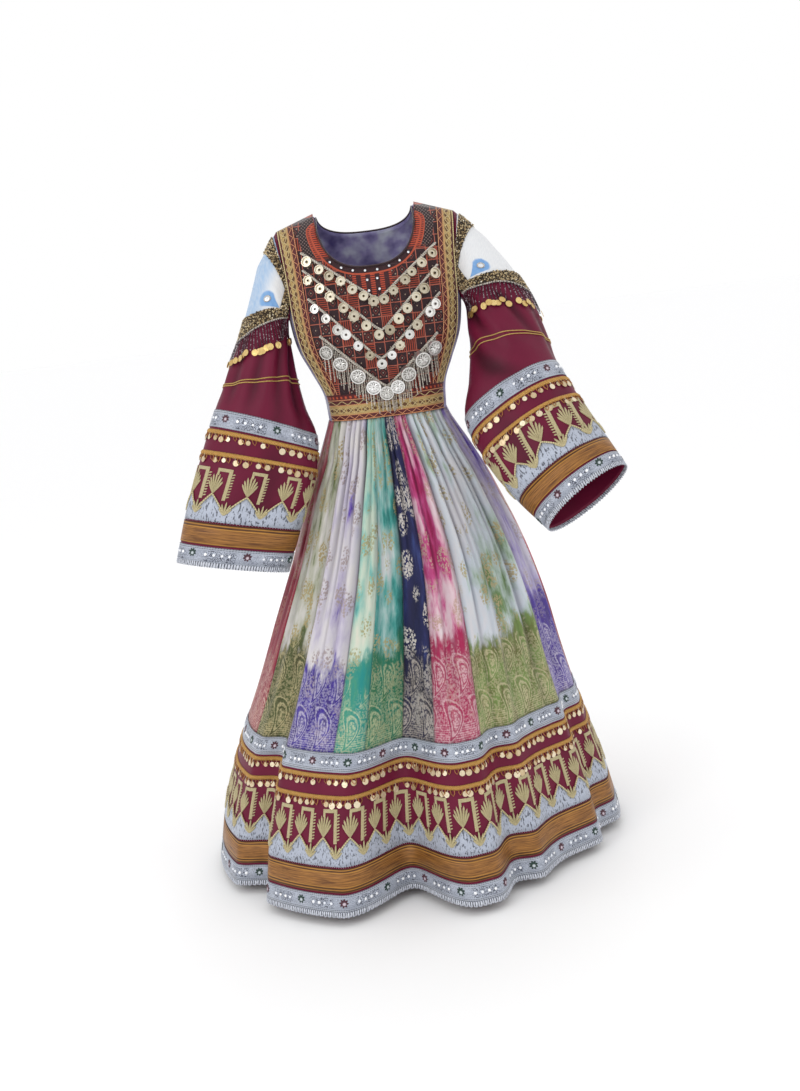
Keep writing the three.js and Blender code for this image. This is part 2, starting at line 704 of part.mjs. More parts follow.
// Rings at which a column of the sleeve has its points. The first rows follow the patch's lower edge.
function sleeveLevels(share) {
  const turn = share * 2 * Math.PI;
  const cap = CAP_UNDERARM + (CAP_RING - CAP_UNDERARM) * Math.abs(Math.cos(turn / 2)) ** CAP_CURVE;
  const levels = [];
  for (let k = 0; k <= CAP_ROWS; k += 1) levels.push((cap * k) / CAP_ROWS);
  return [...levels, (cap + BORDER_RING) / 2, ...BORDER_LEVELS];
}

function sleeveGrid(sleeve) {
  const loop = armholeLoop(sleeve.side);
  const columns = Array.from({ length: SLEEVE_COLUMNS }, (_, i) => {
    const share = i / SLEEVE_COLUMNS;
    return sleeveLevels(share).map((at) => ({ at, out: sleevePoint(sleeve, loop, at, share) }));
  });
  const hub = loop.reduce((sum, p) => sum.add(p), vector(0, 0, 0)).divideScalar(loop.length);
  columns.forEach((column, i) => {
    const before = columns.at(i - 1);
    const after = columns[(i + 1) % columns.length];
    column.forEach((point, k) => {
      const across = after[k].out.clone().sub(before[k].out);
      const down = column[Math.min(k + 1, column.length - 1)].out
        .clone()
        .sub(column[Math.max(k - 1, 0)].out);
      point.normal = across.cross(down).normalize();
      const centre = columns
        .reduce((sum, other) => sum.add(other[k].out), vector(0, 0, 0))
        .divideScalar(columns.length);
      if (point.normal.dot(point.out.clone().sub(centre)) < 0) point.normal.negate();
    });
    const start = column[0];
    start.normal = start.out.clone().sub(hub).setX(0).normalize();
  });
  return columns;
}

// Points of a column between its rows, by a real row number
function columnAt(column, row) {
  const k = Math.min(Math.floor(row), column.length - 2);
  const share = row - k;
  return {
    out: mix(column[k].out, column[k + 1].out, share),
    normal: mix(column[k].normal, column[k + 1].normal, share).normalize(),
  };
}

// The row of a column at a share of the sleeve's border
function borderRow(column, share) {
  const level = BORDER_RING + share * (BORDER_LEVELS.at(-1) - BORDER_RING);
  let k = column.length - BORDER_LEVELS.length;
  while (k < column.length - 2 && column[k + 1].at < level) k += 1;
  return k + (level - column[k].at) / (column[k + 1].at - column[k].at);
}

// The cross-section of a border's trim on one column: a flat ribbon, or a braid with a ridge.
// at(share, height) is a point of the column at a share of the border, off the cloth.
function trimSection(trim, index, at) {
  const from = index % 2 === 1 && trim.valley ? trim.valley : trim.from;
  if (trim.ridge) {
    return [at(from, TRIM_LIFT), at(trim.to, TRIM_LIFT), at((from + trim.to) / 2, TRIM_LIFT + trim.ridge)];
  }
  const high = TRIM_LIFT + TRIM;
  return [at(from, TRIM_LIFT), at(trim.to, TRIM_LIFT), at(trim.to, high), at(from, high)];
}

const PATCH = 1.2; // thickness of the shoulder patch
const BORDER_LIFT = 2 * TRIM_LIFT + PATCH; // the beaded border lies on the patch
const BEADS = 2.6; // its thickness
const FRINGE_LIFT = 3.4; // the fringe's strip is sewn on over the patch's lower edge
const LAST_FRINGE_ROW = 1.7; // the fringe ends at the latest this many rows below the patch

function patchGrid(columns, rows, lift, thick) {
  const part = [];
  for (let i = -PATCH_HALF_COLUMNS; i <= PATCH_HALF_COLUMNS; i += 1) {
    part.push(rows.map((row) => columnAt(columns.at(i), row)));
  }
  return rowsOf(part, lift, thick);
}

// A point of the sleeve between its columns and its rows, with its directions
function sleeveAt(columns, position, row) {
  const i = Math.floor(position);
  const [a, b] = [i, i + 1].map((n) => columnAt(columns.at(n % columns.length), row));
  const out = mix(a.out, b.out, position - i);
  const normal = mix(a.normal, b.normal, position - i).normalize();
  return { out, normal, side: b.out.clone().sub(a.out).normalize() };
}

function shoulderFringe(columns) {
  const reach = PATCH_HALF_COLUMNS - 0.4;
  const strands = [];
  for (let n = 0; n < SHOULDER_STRANDS; n += 1) {
    const position = -reach + (2 * reach * n) / (SHOULDER_STRANDS - 1);
    const start = sleeveAt(columns, position, CAP_ROWS);
    const room = start.out.distanceTo(sleeveAt(columns, position, CAP_ROWS + 1).out);
    const point = (side, down) => {
      const row = CAP_ROWS + Math.min((SEAM + down) / room, LAST_FRINGE_ROW);
      const { out, normal, side: along } = sleeveAt(columns, position, row);
      out.addScaledVector(along, side);
      const low = out.clone().addScaledVector(normal, FRINGE_LIFT);
      return { out: low.clone().addScaledVector(normal, STRAND), in: low };
    };
    const half = STRAND / 2;
    const [coin, end] = [SHOULDER_COIN, SHOULDER_FRINGE];
    strands.push({
      top: point(0, 0),
      root: [point(-half, STRING), point(half, STRING)],
      neck: [point(-half, end), point(half, end)],
      end: [point(-coin, end + coin), point(0, end + 2 * coin), point(coin, end + coin)],
    });
  }
  return comb(strands);
}

for (const [name, sleeve] of Object.entries(SLEEVES)) {
  const columns = sleeveGrid(sleeve);
  piece(`sleeve_${name}`, cellWall(rowsOf(columns, -CLOTH, CLOTH), { closed: true }), COLOURS.maroon);
  for (const trim of BORDER_TRIMS) {
    const sections = columns.map((column, i) =>
      trimSection(trim, i, (share, height) => {
        const { out, normal } = columnAt(column, borderRow(column, share));
        return out.addScaledVector(normal, height);
      }),
    );
    piece(`cuff_${trim.name}_${name}`, sweep(sections, true), COLOURS[trim.colour]);
  }
  const patch = patchGrid(columns, PATCH_ROWS, TRIM_LIFT, PATCH);
  piece(`shoulder_patch_${name}`, cellWall(patch), COLOURS.white);
  const frame = patchGrid(columns, FRAME_ROWS, BORDER_LIFT, BEADS);
  const lastCell = 2 * PATCH_HALF_COLUMNS - 1;
  const keep = (k, i) => k === 0 || k === FRAME_ROWS.length - 2 || i === 0 || i === lastCell;
  piece(`patch_border_${name}`, cellWall(frame, { keep }), COLOURS.beads);
  piece(`shoulder_fringe_${name}`, shoulderFringe(columns), COLOURS.goldCoins);
}

// Skirt: a radius over the angle and the height, with gathers at the waist and deep folds at the hem
function ovalRadius(angle, z) {
  const squared = Math.max((z - OVAL_Z) / (WAIST_Z - OVAL_Z), 0);
  const power = 2 + (BODICE_ROUNDNESS - 2) * squared;
  const [wide, deep] = [read(SKIRT, "wide", z), read(SKIRT, "deep", z)];
  const sum = Math.abs(Math.sin(angle) / wide) ** power + Math.abs(Math.cos(angle) / deep) ** power;
  return sum ** (-1 / power);
}

function foldDepth(angle, z) {
  const grown = ((WAIST_Z - z) / (WAIST_Z - HEM_Z)) ** FOLD_GROWTH;
  const turn = THREE.MathUtils.radToDeg(angle);
  let depth = 0;
  for (const fold of FOLDS) {
    const off = Math.abs(THREE.MathUtils.euclideanModulo(turn - fold.turn + 180, 360) - 180);
    if (off < fold.half) depth += fold.depth * (0.5 + 0.5 * Math.cos((Math.PI * off) / fold.half));
  }
  return depth * Math.max(grown, 0);
}

// A gore's gathers: their number, from one of its edges to the other, gives a narrow valley on each
// side of a ridge
function gatherHeight(gore, share, z) {
  if (z < GATHER_RISE.at(-1).z) return 0;
  return -read(GATHER_RISE, "rise", z) * Math.cos(2 * Math.PI * gore.gathers * share);
}

function skirtRadius(angle, z) {
  return ovalRadius(angle, z) - foldDepth(angle, z);
}

function skirtPoint(angle, z, lift) {
  const radius = skirtRadius(angle, z);
  const turn = degrees(HEM_STEP / 2);
  const slope = (skirtRadius(angle + turn, z) - skirtRadius(angle - turn, z)) / (2 * turn * radius);
  const spread = Math.min(Math.hypot(1, slope), MOST_SPREAD);
  const reach = radius + lift * spread;
  return vector(read(SKIRT, "shift", z) + reach * Math.sin(angle), -reach * Math.cos(angle), z);
}

function goreRow(gore, columns, z) {
  const row = [];
  for (let i = 0; i <= columns; i += 1) {
    const share = i / columns;
    const seam = SEAM / 2 / skirtRadius(0, z);
    const nudge = { 0: seam, [columns]: -seam }[i] ?? 0;
    const angle = degrees(gore.from + (gore.to - gore.from) * share) + nudge;
    const rise = gatherHeight(gore, share, z);
    row.push({ u: share, out: skirtPoint(angle, z, rise), in: skirtPoint(angle, z, rise - CLOTH) });
  }
  return row;
}

GORES.forEach((gore, n) => {
  const fine = GORE_ROWS_FINE.map((z) => goreRow(gore, gore.gathers * GATHER_COLUMNS, z));
  const wide = Math.ceil((gore.to - gore.from) / HEM_STEP);
  const coarse = GORE_ROWS_COARSE.map((z) => goreRow(gore, wide, z));
  const rows = [...fine, ...coarse];
  for (const [row, move] of [[rows[0], -SEAM / 2], [rows.at(-1), SEAM / 2]]) {
    for (const point of row) {
      point.out.z += move;
      point.in.z += move;
    }
  }
  const number = String(n + 1).padStart(2, "0");
  piece(`gore_${number}_${gore.name}`, rowWall(rows), [gore.colour, GORE_ROUGHNESS, 0]);
});

// The border of the skirt, in panels that are joined end to end, with its trims all the way round
const hemColumn = (turn, nudge) =>
  HEM_ROWS.map((z, k) => {
    const angle = degrees(turn) + nudge / skirtRadius(degrees(turn), z);
    const drop = k === 0 ? -SEAM / 2 : 0;
    const out = skirtPoint(angle, z, 0);
    const lifted = skirtPoint(angle, z, 1);
    out.z += drop;
    lifted.z += drop;
    return { out, normal: lifted.clone().sub(out) };
  });

const hemSpan = 360 / HEM_PANELS;
for (let n = 0; n < HEM_PANELS; n += 1) {
  const start = -90 + n * hemSpan;
  const steps = hemSpan / HEM_STEP;
  const columns = Array.from({ length: steps + 1 }, (_, i) => {
    const nudge = i === 0 ? SEAM / 2 : i === steps ? -SEAM / 2 : 0;
    return hemColumn(start + i * HEM_STEP, nudge);
  });
  piece(`hem_panel_${n + 1}`, cellWall(rowsOf(columns, -CLOTH, CLOTH)), COLOURS.maroon);
}

const hemColumns = Array.from({ length: 360 / HEM_STEP }, (_, i) => hemColumn(-90 + i * HEM_STEP, 0));
// The directions of these columns aren't of length one: they hold the spread on the sides of folds
for (const trim of BORDER_TRIMS) {
  const sections = hemColumns.map((column, i) =>
    trimSection(trim, i, (share, height) => {
      const row = share * (HEM_ROWS.length - 1);
      const k = Math.min(Math.floor(row), HEM_ROWS.length - 2);
      const out = mix(column[k].out, column[k + 1].out, row - k);
      return out.addScaledVector(mix(column[k].normal, column[k + 1].normal, row - k), height);
    }),
  );
  piece(`hem_${trim.name}`, sweep(sections, true), COLOURS[trim.colour]);
}

export default dress;
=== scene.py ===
import math
import random

import bmesh
import bpy
import numpy as np
from mathutils import Matrix, Vector


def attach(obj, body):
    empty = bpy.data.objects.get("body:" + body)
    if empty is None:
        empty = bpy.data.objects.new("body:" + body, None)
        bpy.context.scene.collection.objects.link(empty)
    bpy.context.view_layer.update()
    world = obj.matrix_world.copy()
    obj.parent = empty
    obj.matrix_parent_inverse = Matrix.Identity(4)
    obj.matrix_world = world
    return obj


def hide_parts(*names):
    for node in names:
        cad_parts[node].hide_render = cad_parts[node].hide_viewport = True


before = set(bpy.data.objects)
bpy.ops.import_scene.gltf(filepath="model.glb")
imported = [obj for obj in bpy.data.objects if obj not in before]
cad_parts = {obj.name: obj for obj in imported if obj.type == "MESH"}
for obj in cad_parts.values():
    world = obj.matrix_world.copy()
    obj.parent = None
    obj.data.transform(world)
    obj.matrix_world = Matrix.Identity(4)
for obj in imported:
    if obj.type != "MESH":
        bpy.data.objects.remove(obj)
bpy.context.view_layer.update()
bpy.ops.object.select_all(action="DESELECT")

# The room: a pale floor just under the hem, an even white surround, and soft light from the front
# and from both sides, as in a studio. The camera stands a little above the chest and looks down.
floor_size = 140
floor_height = -1.352
bpy.ops.mesh.primitive_plane_add(size=floor_size, location=(0, 0, floor_height))
floor = bpy.context.object
floor.name = "floor"
floor_paint = bpy.data.materials.new("floor_paint")
floor_paint.use_nodes = True
floor_paint.node_tree.nodes["Principled BSDF"].inputs["Base Color"].default_value = (0.995, 0.995, 1.0, 1)
floor_paint.node_tree.nodes["Principled BSDF"].inputs["Roughness"].default_value = 0.85
floor.data.materials.append(floor_paint)

world = bpy.data.worlds.new("studio")
world.use_nodes = True
world.node_tree.nodes["Background"].inputs["Color"].default_value = (1.0, 1.0, 1.0, 1)
world.node_tree.nodes["Background"].inputs["Strength"].default_value = 1.0
bpy.context.scene.world = world
bpy.context.scene.view_settings.view_transform = "Standard"

for name, place, aim, side, watts in (
    ("window_left", (-2.4, -2.6, 1.1), (0, 0, -0.6), 1.4, 21),
    ("window_right", (2.8, -2.2, 0.6), (0, 0, -0.6), 1.4, 5),
    ("window_back", (0.6, 2.8, 1.4), (0, 0, -0.5), 1.6, 11),
):
    bpy.ops.object.light_add(type="AREA", location=place)
    lamp = bpy.context.object
    lamp.name = name
    lamp.data.size = side
    lamp.data.energy = watts
    lamp.rotation_mode = "QUATERNION"
    lamp.rotation_quaternion = (Vector(aim) - Vector(place)).to_track_quat("-Z", "Y")

bpy.ops.object.camera_add(location=(-0.0087, -2.6, -0.199))
camera = bpy.context.object
pitch = Matrix.Rotation(math.radians(79), 4, "X")
roll = Matrix.Rotation(math.radians(-7), 4, "Z")
camera.matrix_world = Matrix.Translation(camera.location) @ pitch @ roll
camera.data.sensor_width = 36
camera.data.lens = 40.85
bpy.context.scene.camera = camera
bpy.ops.object.select_all(action="DESELECT")


# The skirt: sixteen gores of thin viscose and silk, dyed in clouds and woven with paisleys towards
# the hem, seamed down their sides and gathered into the waist. Each gore is its own sheet.
MM = 0.001
WAIST = -420
BORDER = -1035
HEM = -1325
CLOTH = 1.2
# The skirt's sections by height: how far right their middle is, half width and half depth
SKIRT = (
    (-420, 0, 122, 92), (-440, 0, 129, 101), (-500, 4, 158, 133), (-560, 6, 187, 166),
    (-700, 7, 242, 232), (-840, -3, 293, 288), (-956, -16, 329, 326), (-1072, -30, 369, 368),
    (-1200, -38, 412, 408), (-1325, -40, 441, 438),
)
# Deep folds: degrees round from the front, depth at the hem, half width in degrees
FOLDS = (
    (-54, 48, 9), (-4.5, 118, 18), (27, 44, 9), (45, 46, 22.5), (67.5, 34, 9),
    (108, 62, 13.5), (144, 84, 18), (180, 60, 13.5), (211.5, 88, 18), (247.5, 62, 13.5),
)
# Soft flutes between waist and border: degrees, half width in degrees, depth, top, foot, and drift in
# degrees
FLUTES = (
    (-80, 5, 6, -470, -1060, 1), (-72, 4, 5, -450, -930, -1), (-63, 4, 7, -480, -1090, -1),
    (-50, 5, 9, -450, -1120, 0), (-41, 3.4, 5, -450, -900, -2), (-35, 3, 6, -520, -1010, 1),
    (-28, 3.4, 8, -440, -1080, 0), (-21, 2.6, 5, -450, -860, -1), (-16, 3, 7, -470, -1000, 1),
    (-5.4, 2.8, 8, -450, -1060, 0), (1, 2.6, 5, -460, -900, 1), (7, 3, 8, -450, -1020, 0),
    (14.5, 3, 6, -450, -1000, 0), (21, 3, 7, -450, -1010, 1), (30, 4, 6, -470, -880, 2),
    (38, 3.6, 8, -450, -1100, 2), (46, 4, 5, -500, -940, 2), (54, 4, 9, -450, -1120, 1),
    (64, 5, 7, -450, -1060, -1), (73, 4, 6, -480, -960, 0), (84, 5, 8, -450, -1090, 1),
    (97, 5, 7, -450, -1000, 2), (106, 4, 5, -500, -900, -1), (117, 5, 8, -450, -1080, 0),
    (130, 4.5, 6, -460, -960, 2), (140, 5, 8, -450, -1060, -1), (152, 4, 6, -480, -900, 1),
    (165, 5, 9, -450, -1100, 0), (176, 4, 6, -450, -950, -2), (189, 5, 8, -450, -1060, 1),
    (201, 4.4, 6, -480, -980, 1), (215, 5, 8, -450, -1090, 0), (228, 4, 6, -460, -930, -2),
    (243, 5, 8, -450, -1070, 1), (257, 5, 6, -480, -980, 0),
)
# How far the gathers stand out, by height
GATHER_RISE = (
    (-420, 2.0), (-440, 3.4), (-490, 4.6), (-560, 4.0), (-660, 2.6), (-800, 1.5), (-920, 0.7),
    (-1000, 0.2), (-1035, 0),
)


def read(table, column, at):
    """Reads a column of a table at values of its first column, along a smooth curve through its rows."""
    rows = sorted(table)
    x = np.array([row[0] for row in rows], float)
    y = np.array([row[column] for row in rows], float)
    at = np.clip(at, x[0], x[-1])
    i = np.clip(np.searchsorted(x, at, side="right") - 1, 0, len(x) - 2)
    before = np.maximum(i - 1, 0)
    after = np.minimum(i + 2, len(x) - 1)
    start = (y[i + 1] - y[before]) / (x[i + 1] - x[before])
    end = (y[after] - y[i]) / (x[after] - x[i])
    width = x[i + 1] - x[i]
    t = (at - x[i]) / width
    ease = 3 * t**2 - 2 * t**3
    bend = (t**3 - 2 * t**2 + t) * start + (t**3 - t**2) * end
    return (1 - ease) * y[i] + ease * y[i + 1] + width * bend


def trough(off, half):
    """A soft dip: 1 in its middle and 0 from its half width on."""
    return np.where(np.abs(off) < half, 0.5 + 0.5 * np.cos(np.pi * off / half), 0)


def around(turn, at):
    """Degrees from one direction to another, from -180 to 180."""
    return (turn - at + 180) % 360 - 180


def flute_depth(turn, z):
    """How deep the soft flutes are at a place."""
    deep = 0.0
    for at, half, depth, top, foot, drift in FLUTES:
        along = np.clip((top - z) / (top - foot), 0, 1)
        deep = deep + depth * trough(around(turn, at + drift * along), half) * np.sin(np.pi * along) ** 1.2
    return deep


def skirt_point(turn, z, out=0.0):
    """A point of the skirt's outside, moved out by some millimetres."""
    power = 2 + 0.6 * np.maximum((z + 500) / 80, 0)
    angle = np.radians(turn)
    wide = np.abs(np.sin(angle) / read(SKIRT, 2, z)) ** power
    deep = np.abs(np.cos(angle) / read(SKIRT, 3, z)) ** power
    radius = (wide + deep) ** (-1 / power)
    grown = np.maximum((WAIST - z) / (WAIST - HEM), 0) ** 1.15
    for at, depth, half in FOLDS:
        radius = radius - grown * depth * trough(around(turn, at), half)
    radius = radius - flute_depth(turn, z) + out
    x = read(SKIRT, 1, z) + radius * np.sin(angle)
    return np.stack([x, -radius * np.cos(angle), z + 0 * radius], axis=-1)


def unit(way):
    """A direction at length 1."""
    return way / np.linalg.norm(way, axis=-1, keepdims=True)


def along_line(line):
    """How far each point of a line is along it, in millimetres."""
    return np.concatenate([[0], np.cumsum(np.linalg.norm(np.diff(line, axis=0), axis=-1))])


class Surface:
    """A sheet as a grid of points in millimetres. Its u runs along the rows and its v down them, from
    0 to 1, and a closed sheet goes all the way round."""

    def __init__(self, points, closed=False, middle=None):
        self.closed = closed
        self.points = points
        around_it = np.concatenate([points[:, -1:], points, points[:, :1]], axis=1)
        across = np.gradient(around_it, axis=1)[:, 1:-1] if closed else np.gradient(points, axis=1)
        normal = np.cross(np.gradient(points, axis=0), across)
        length = np.linalg.norm(normal, axis=-1, keepdims=True)
        normal = normal / np.maximum(length, 1e-9)
        if middle is None:
            middle = points.mean(axis=1, keepdims=True)
        self.turned = np.sum(normal * (points - middle)) < 0
        self.normal = -normal if self.turned else normal

    def at(self, u, v, lift=0.0):
        """Points at u and v, off the sheet by a lift. Past an edge the sheet goes on straight."""
        rows, columns = self.points.shape[:2]
        u, v, lift = np.broadcast_arrays(u, v, lift)
        y = v * (rows - 1)
        x = (u % 1.0) * columns if self.closed else u * (columns - 1)
        r = np.clip(y.astype(int), 0, rows - 2)
        c = np.clip(x.astype(int), 0, columns - 1 if self.closed else columns - 2)
        d = (c + 1) % columns
        a, b = (y - r)[..., None], (x - c)[..., None]

        def blend(grid):
            top = grid[r, c] * (1 - b) + grid[r, d] * b
            low = grid[r + 1, c] * (1 - b) + grid[r + 1, d] * b
            return top * (1 - a) + low * a

        normal = blend(self.normal)
        normal = unit(normal)
        return blend(self.points) + normal * lift[..., None]

    def scale(self, u, v):
        """Millimetres that one step of u and one step of v cover at a place."""
        step = 0.004
        wide = np.linalg.norm(self.at(u + step, v) - self.at(u - step, v), axis=-1)
        tall = np.linalg.norm(self.at(u, v + step) - self.at(u, v - step), axis=-1)
        return wide / (2 * step), tall / (2 * step)


def sheet_mesh(name, points, uv, closed=False, turned=False, ring=False, marks=None):
    """An object from a grid of points in millimetres. uv has one more column than a closed grid, and
    one more row than a grid whose rows make a ring. marks are numbers kept on its points."""
    rows, columns = points.shape[:2]
    r, c = np.meshgrid(np.arange(rows if ring else rows - 1), np.arange(columns if closed else columns - 1),
                       indexing="ij")
    below, beside = (r + 1) % rows, (c + 1) % columns
    upper, lower = r * columns, below * columns
    faces = np.stack([upper + c, lower + c, lower + beside, upper + beside], axis=-1)
    corner = np.stack([uv[r, c], uv[r + 1, c], uv[r + 1, c + 1], uv[r, c + 1]], axis=2)
    if turned:
        faces, corner = faces[..., ::-1], corner[:, :, ::-1]
    mesh = bpy.data.meshes.new(name)
    mesh.from_pydata((points.reshape(-1, 3) * MM).tolist(), [], faces.reshape(-1, 4).tolist())
    mesh.uv_layers.new(name="UVMap")
    mesh.uv_layers["UVMap"].data.foreach_set("uv", corner.reshape(-1).astype(np.float32))
    for mark, values in (marks or {}).items():
        mesh.attributes.new(mark, "FLOAT", "POINT")
        mesh.attributes[mark].data.foreach_set("value", values.reshape(-1).astype(np.float32))
    mesh.polygons.foreach_set("use_smooth", np.ones(len(mesh.polygons), bool))
    made = bpy.data.objects.new(name, mesh)
    bpy.context.scene.collection.objects.link(made)
    return made


def give_wall(piece, thick):
    """Gives a sheet its thickness, inwards, as one closed wall."""
    bpy.context.view_layer.objects.active = piece
    wall = piece.modifiers.new("wall", "SOLIDIFY")
    wall.thickness = thick * MM
    wall.offset = -1
    bpy.ops.object.modifier_apply(modifier="wall")


def settle(piece, material, slot, *nodes):
    """Gives a finished piece its material and its body, and hides the solids that it stands for. Its slot is
    not used.
    """
    piece.data.materials.append(material)
    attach(piece, "root")
    if nodes:
        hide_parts(*nodes)


class Wire:
    """An output socket. Sums with it add Math nodes to its material."""

    def __init__(self, look, socket):
        self.look = look
        self.socket = socket

    def __add__(self, other):
        return self.look.math("ADD", self, other)

    def __sub__(self, other):
        return self.look.math("SUBTRACT", self, other)

    def __rsub__(self, other):
        return self.look.math("SUBTRACT", other, self)

    def __mul__(self, other):
        return self.look.math("MULTIPLY", self, other)

    def __truediv__(self, other):
        return self.look.math("DIVIDE", self, other)

    def __rtruediv__(self, other):
        return self.look.math("DIVIDE", other, self)

    def __pow__(self, other):
        return self.look.math("POWER", self, other)

    __radd__ = __add__
    __rmul__ = __mul__


def paint(code):
    """A colour written as on a dye card, rrggbb, as the shader wants it."""
    parts = [int(code[i:i + 2], 16) / 255 for i in (0, 2, 4)]
    return tuple(p / 12.92 if p < 0.04045 else ((p + 0.055) / 1.055) ** 2.4 for p in parts) + (1.0,)


class Look:
    """A material and the ways to add nodes to it."""

    def __init__(self, name, roughness=0.6, metallic=0.0, sheen=0.0, specular=0.5):
        self.material = bpy.data.materials.new(name)
        self.material.use_nodes = True
        self.tree = self.material.node_tree
        self.shader = self.tree.nodes["Principled BSDF"]
        self.shader.inputs["Roughness"].default_value = roughness
        self.shader.inputs["Metallic"].default_value = metallic
        self.shader.inputs["Sheen Weight"].default_value = sheen
        self.shader.inputs["Sheen Roughness"].default_value = 0.4
        self.shader.inputs["Specular IOR Level"].default_value = specular

    def node(self, kind, settings, values):
        """A node: its kind, its settings, then the values or wires of its sockets."""
        made = self.tree.nodes.new("ShaderNode" + kind)
        for key, value in settings.items():
            setattr(made, key, value)
        for key, value in values.items():
            if isinstance(value, Wire):
                self.tree.links.new(value.socket, made.inputs[key])
            else:
                made.inputs[key].default_value = value
        return made

    def wire(self, node, output=0):
        return Wire(self, node.outputs[output])

    def math(self, operation, *values):
        return self.wire(self.node("Math", {"operation": operation}, dict(enumerate(values))))

    def limit(self, value):
        """Keeps a value between 0 and 1."""
        return self.wire(self.node("Math", {"operation": "ADD", "use_clamp": True}, {0: value, 1: 0.0}))

    def step(self, value, low, high):
        """Goes smoothly from 0 at low to 1 at high."""
        settings = {"interpolation_type": "SMOOTHSTEP"}
        return self.wire(self.node("MapRange", settings, {"Value": value, "From Min": low, "From Max": high}))

    def place(self):
        """The piece's own map as two numbers."""
        where = self.wire(self.node("UVMap", {"uv_map": "UVMap"}, {}))
        parts = self.node("SeparateXYZ", {}, {0: where})
        return self.wire(parts, 0), self.wire(parts, 1)

    def mark(self, name):
        return self.wire(self.node("Attribute", {"attribute_name": name}, {}), "Fac")

    def point(self, x, y, z=0.0):
        return self.wire(self.node("CombineXYZ", {}, {0: x, 1: y, 2: z}))

    def noise(self, point, scale, detail=2.0, rough=0.5):
        values = {"Vector": point, "Scale": scale, "Detail": detail, "Roughness": rough}
        return self.wire(self.node("TexNoise", {}, values))

    def cells(self, point, scale, feature="F1", loose=1.0):
        values = {"Vector": point, "Scale": scale, "Randomness": loose}
        return self.node("TexVoronoi", {"feature": feature}, values)

    def mix(self, share, first, second):
        """A mix of two colours, each of them a wire or a colour as on a dye card."""
        first, second = (paint(tone) if isinstance(tone, str) else tone for tone in (first, second))
        values = {0: share, 6: first, 7: second}
        return self.wire(self.node("Mix", {"data_type": "RGBA"}, values), 2)

    def shade(self, share, colour, tone):
        """Multiplies a colour by a tone, to paint shade into it."""
        settings = {"data_type": "RGBA", "blend_type": "MULTIPLY"}
        return self.wire(self.node("Mix", settings, {0: share, 6: colour, 7: tone}), 2)

    def ramp(self, share, stops, interpolation="LINEAR"):
        made = self.node("ValToRGB", {}, {0: share})
        made.color_ramp.interpolation = interpolation
        bar = made.color_ramp.elements
        while len(bar) < len(stops):
            bar.new(1.0)
        for element, (position, code) in zip(bar, stops):
            element.position = position
            element.color = paint(code)
        return self.wire(made)

    def feed(self, socket, value):
        self.tree.links.new(value.socket, self.shader.inputs[socket])

    def colour(self, value):
        self.feed("Base Color", value)

    def bump(self, height, depth):
        """Relief from a height between 0 and 1 that stands for a depth in metres."""
        made = self.node("Bump", {}, {"Height": height, "Strength": 1.0, "Distance": depth})
        self.feed("Normal", self.wire(made))

    def frac(self, value):
        return self.math("FRACT", value)

    def sine(self, value):
        return self.math("SINE", value)

    def wave(self, value, pitch):
        """A wave from -1 to 1 that repeats after every pitch."""
        return self.sine(value * (math.tau / pitch))

    def far(self, value):
        return self.math("ABSOLUTE", value)

    def near(self, value, middle, none, full):
        """1 within the distance full of a middle value, going down to 0 at the distance none."""
        return self.step(self.far(value - middle), none, full)


def threads(look, x, y, pitch):
    """A plain weave as a height: warp and weft a pitch apart, in metres."""
    warp = look.wave(x, pitch)
    weft = look.wave(y, pitch)
    return warp * weft * 0.5 + 0.5


# The thread of the flowers: dull gold, or silver on the navy cloth
FLOWER = ("98804c", "d9d5cd")


def dye_lighter(code):
    """The same hue, a third of the way to white."""
    parts = [int(code[i:i + 2], 16) for i in (0, 2, 4)]
    return "".join(f"{round(p + (255 - p) * 0.3):02x}" for p in parts)


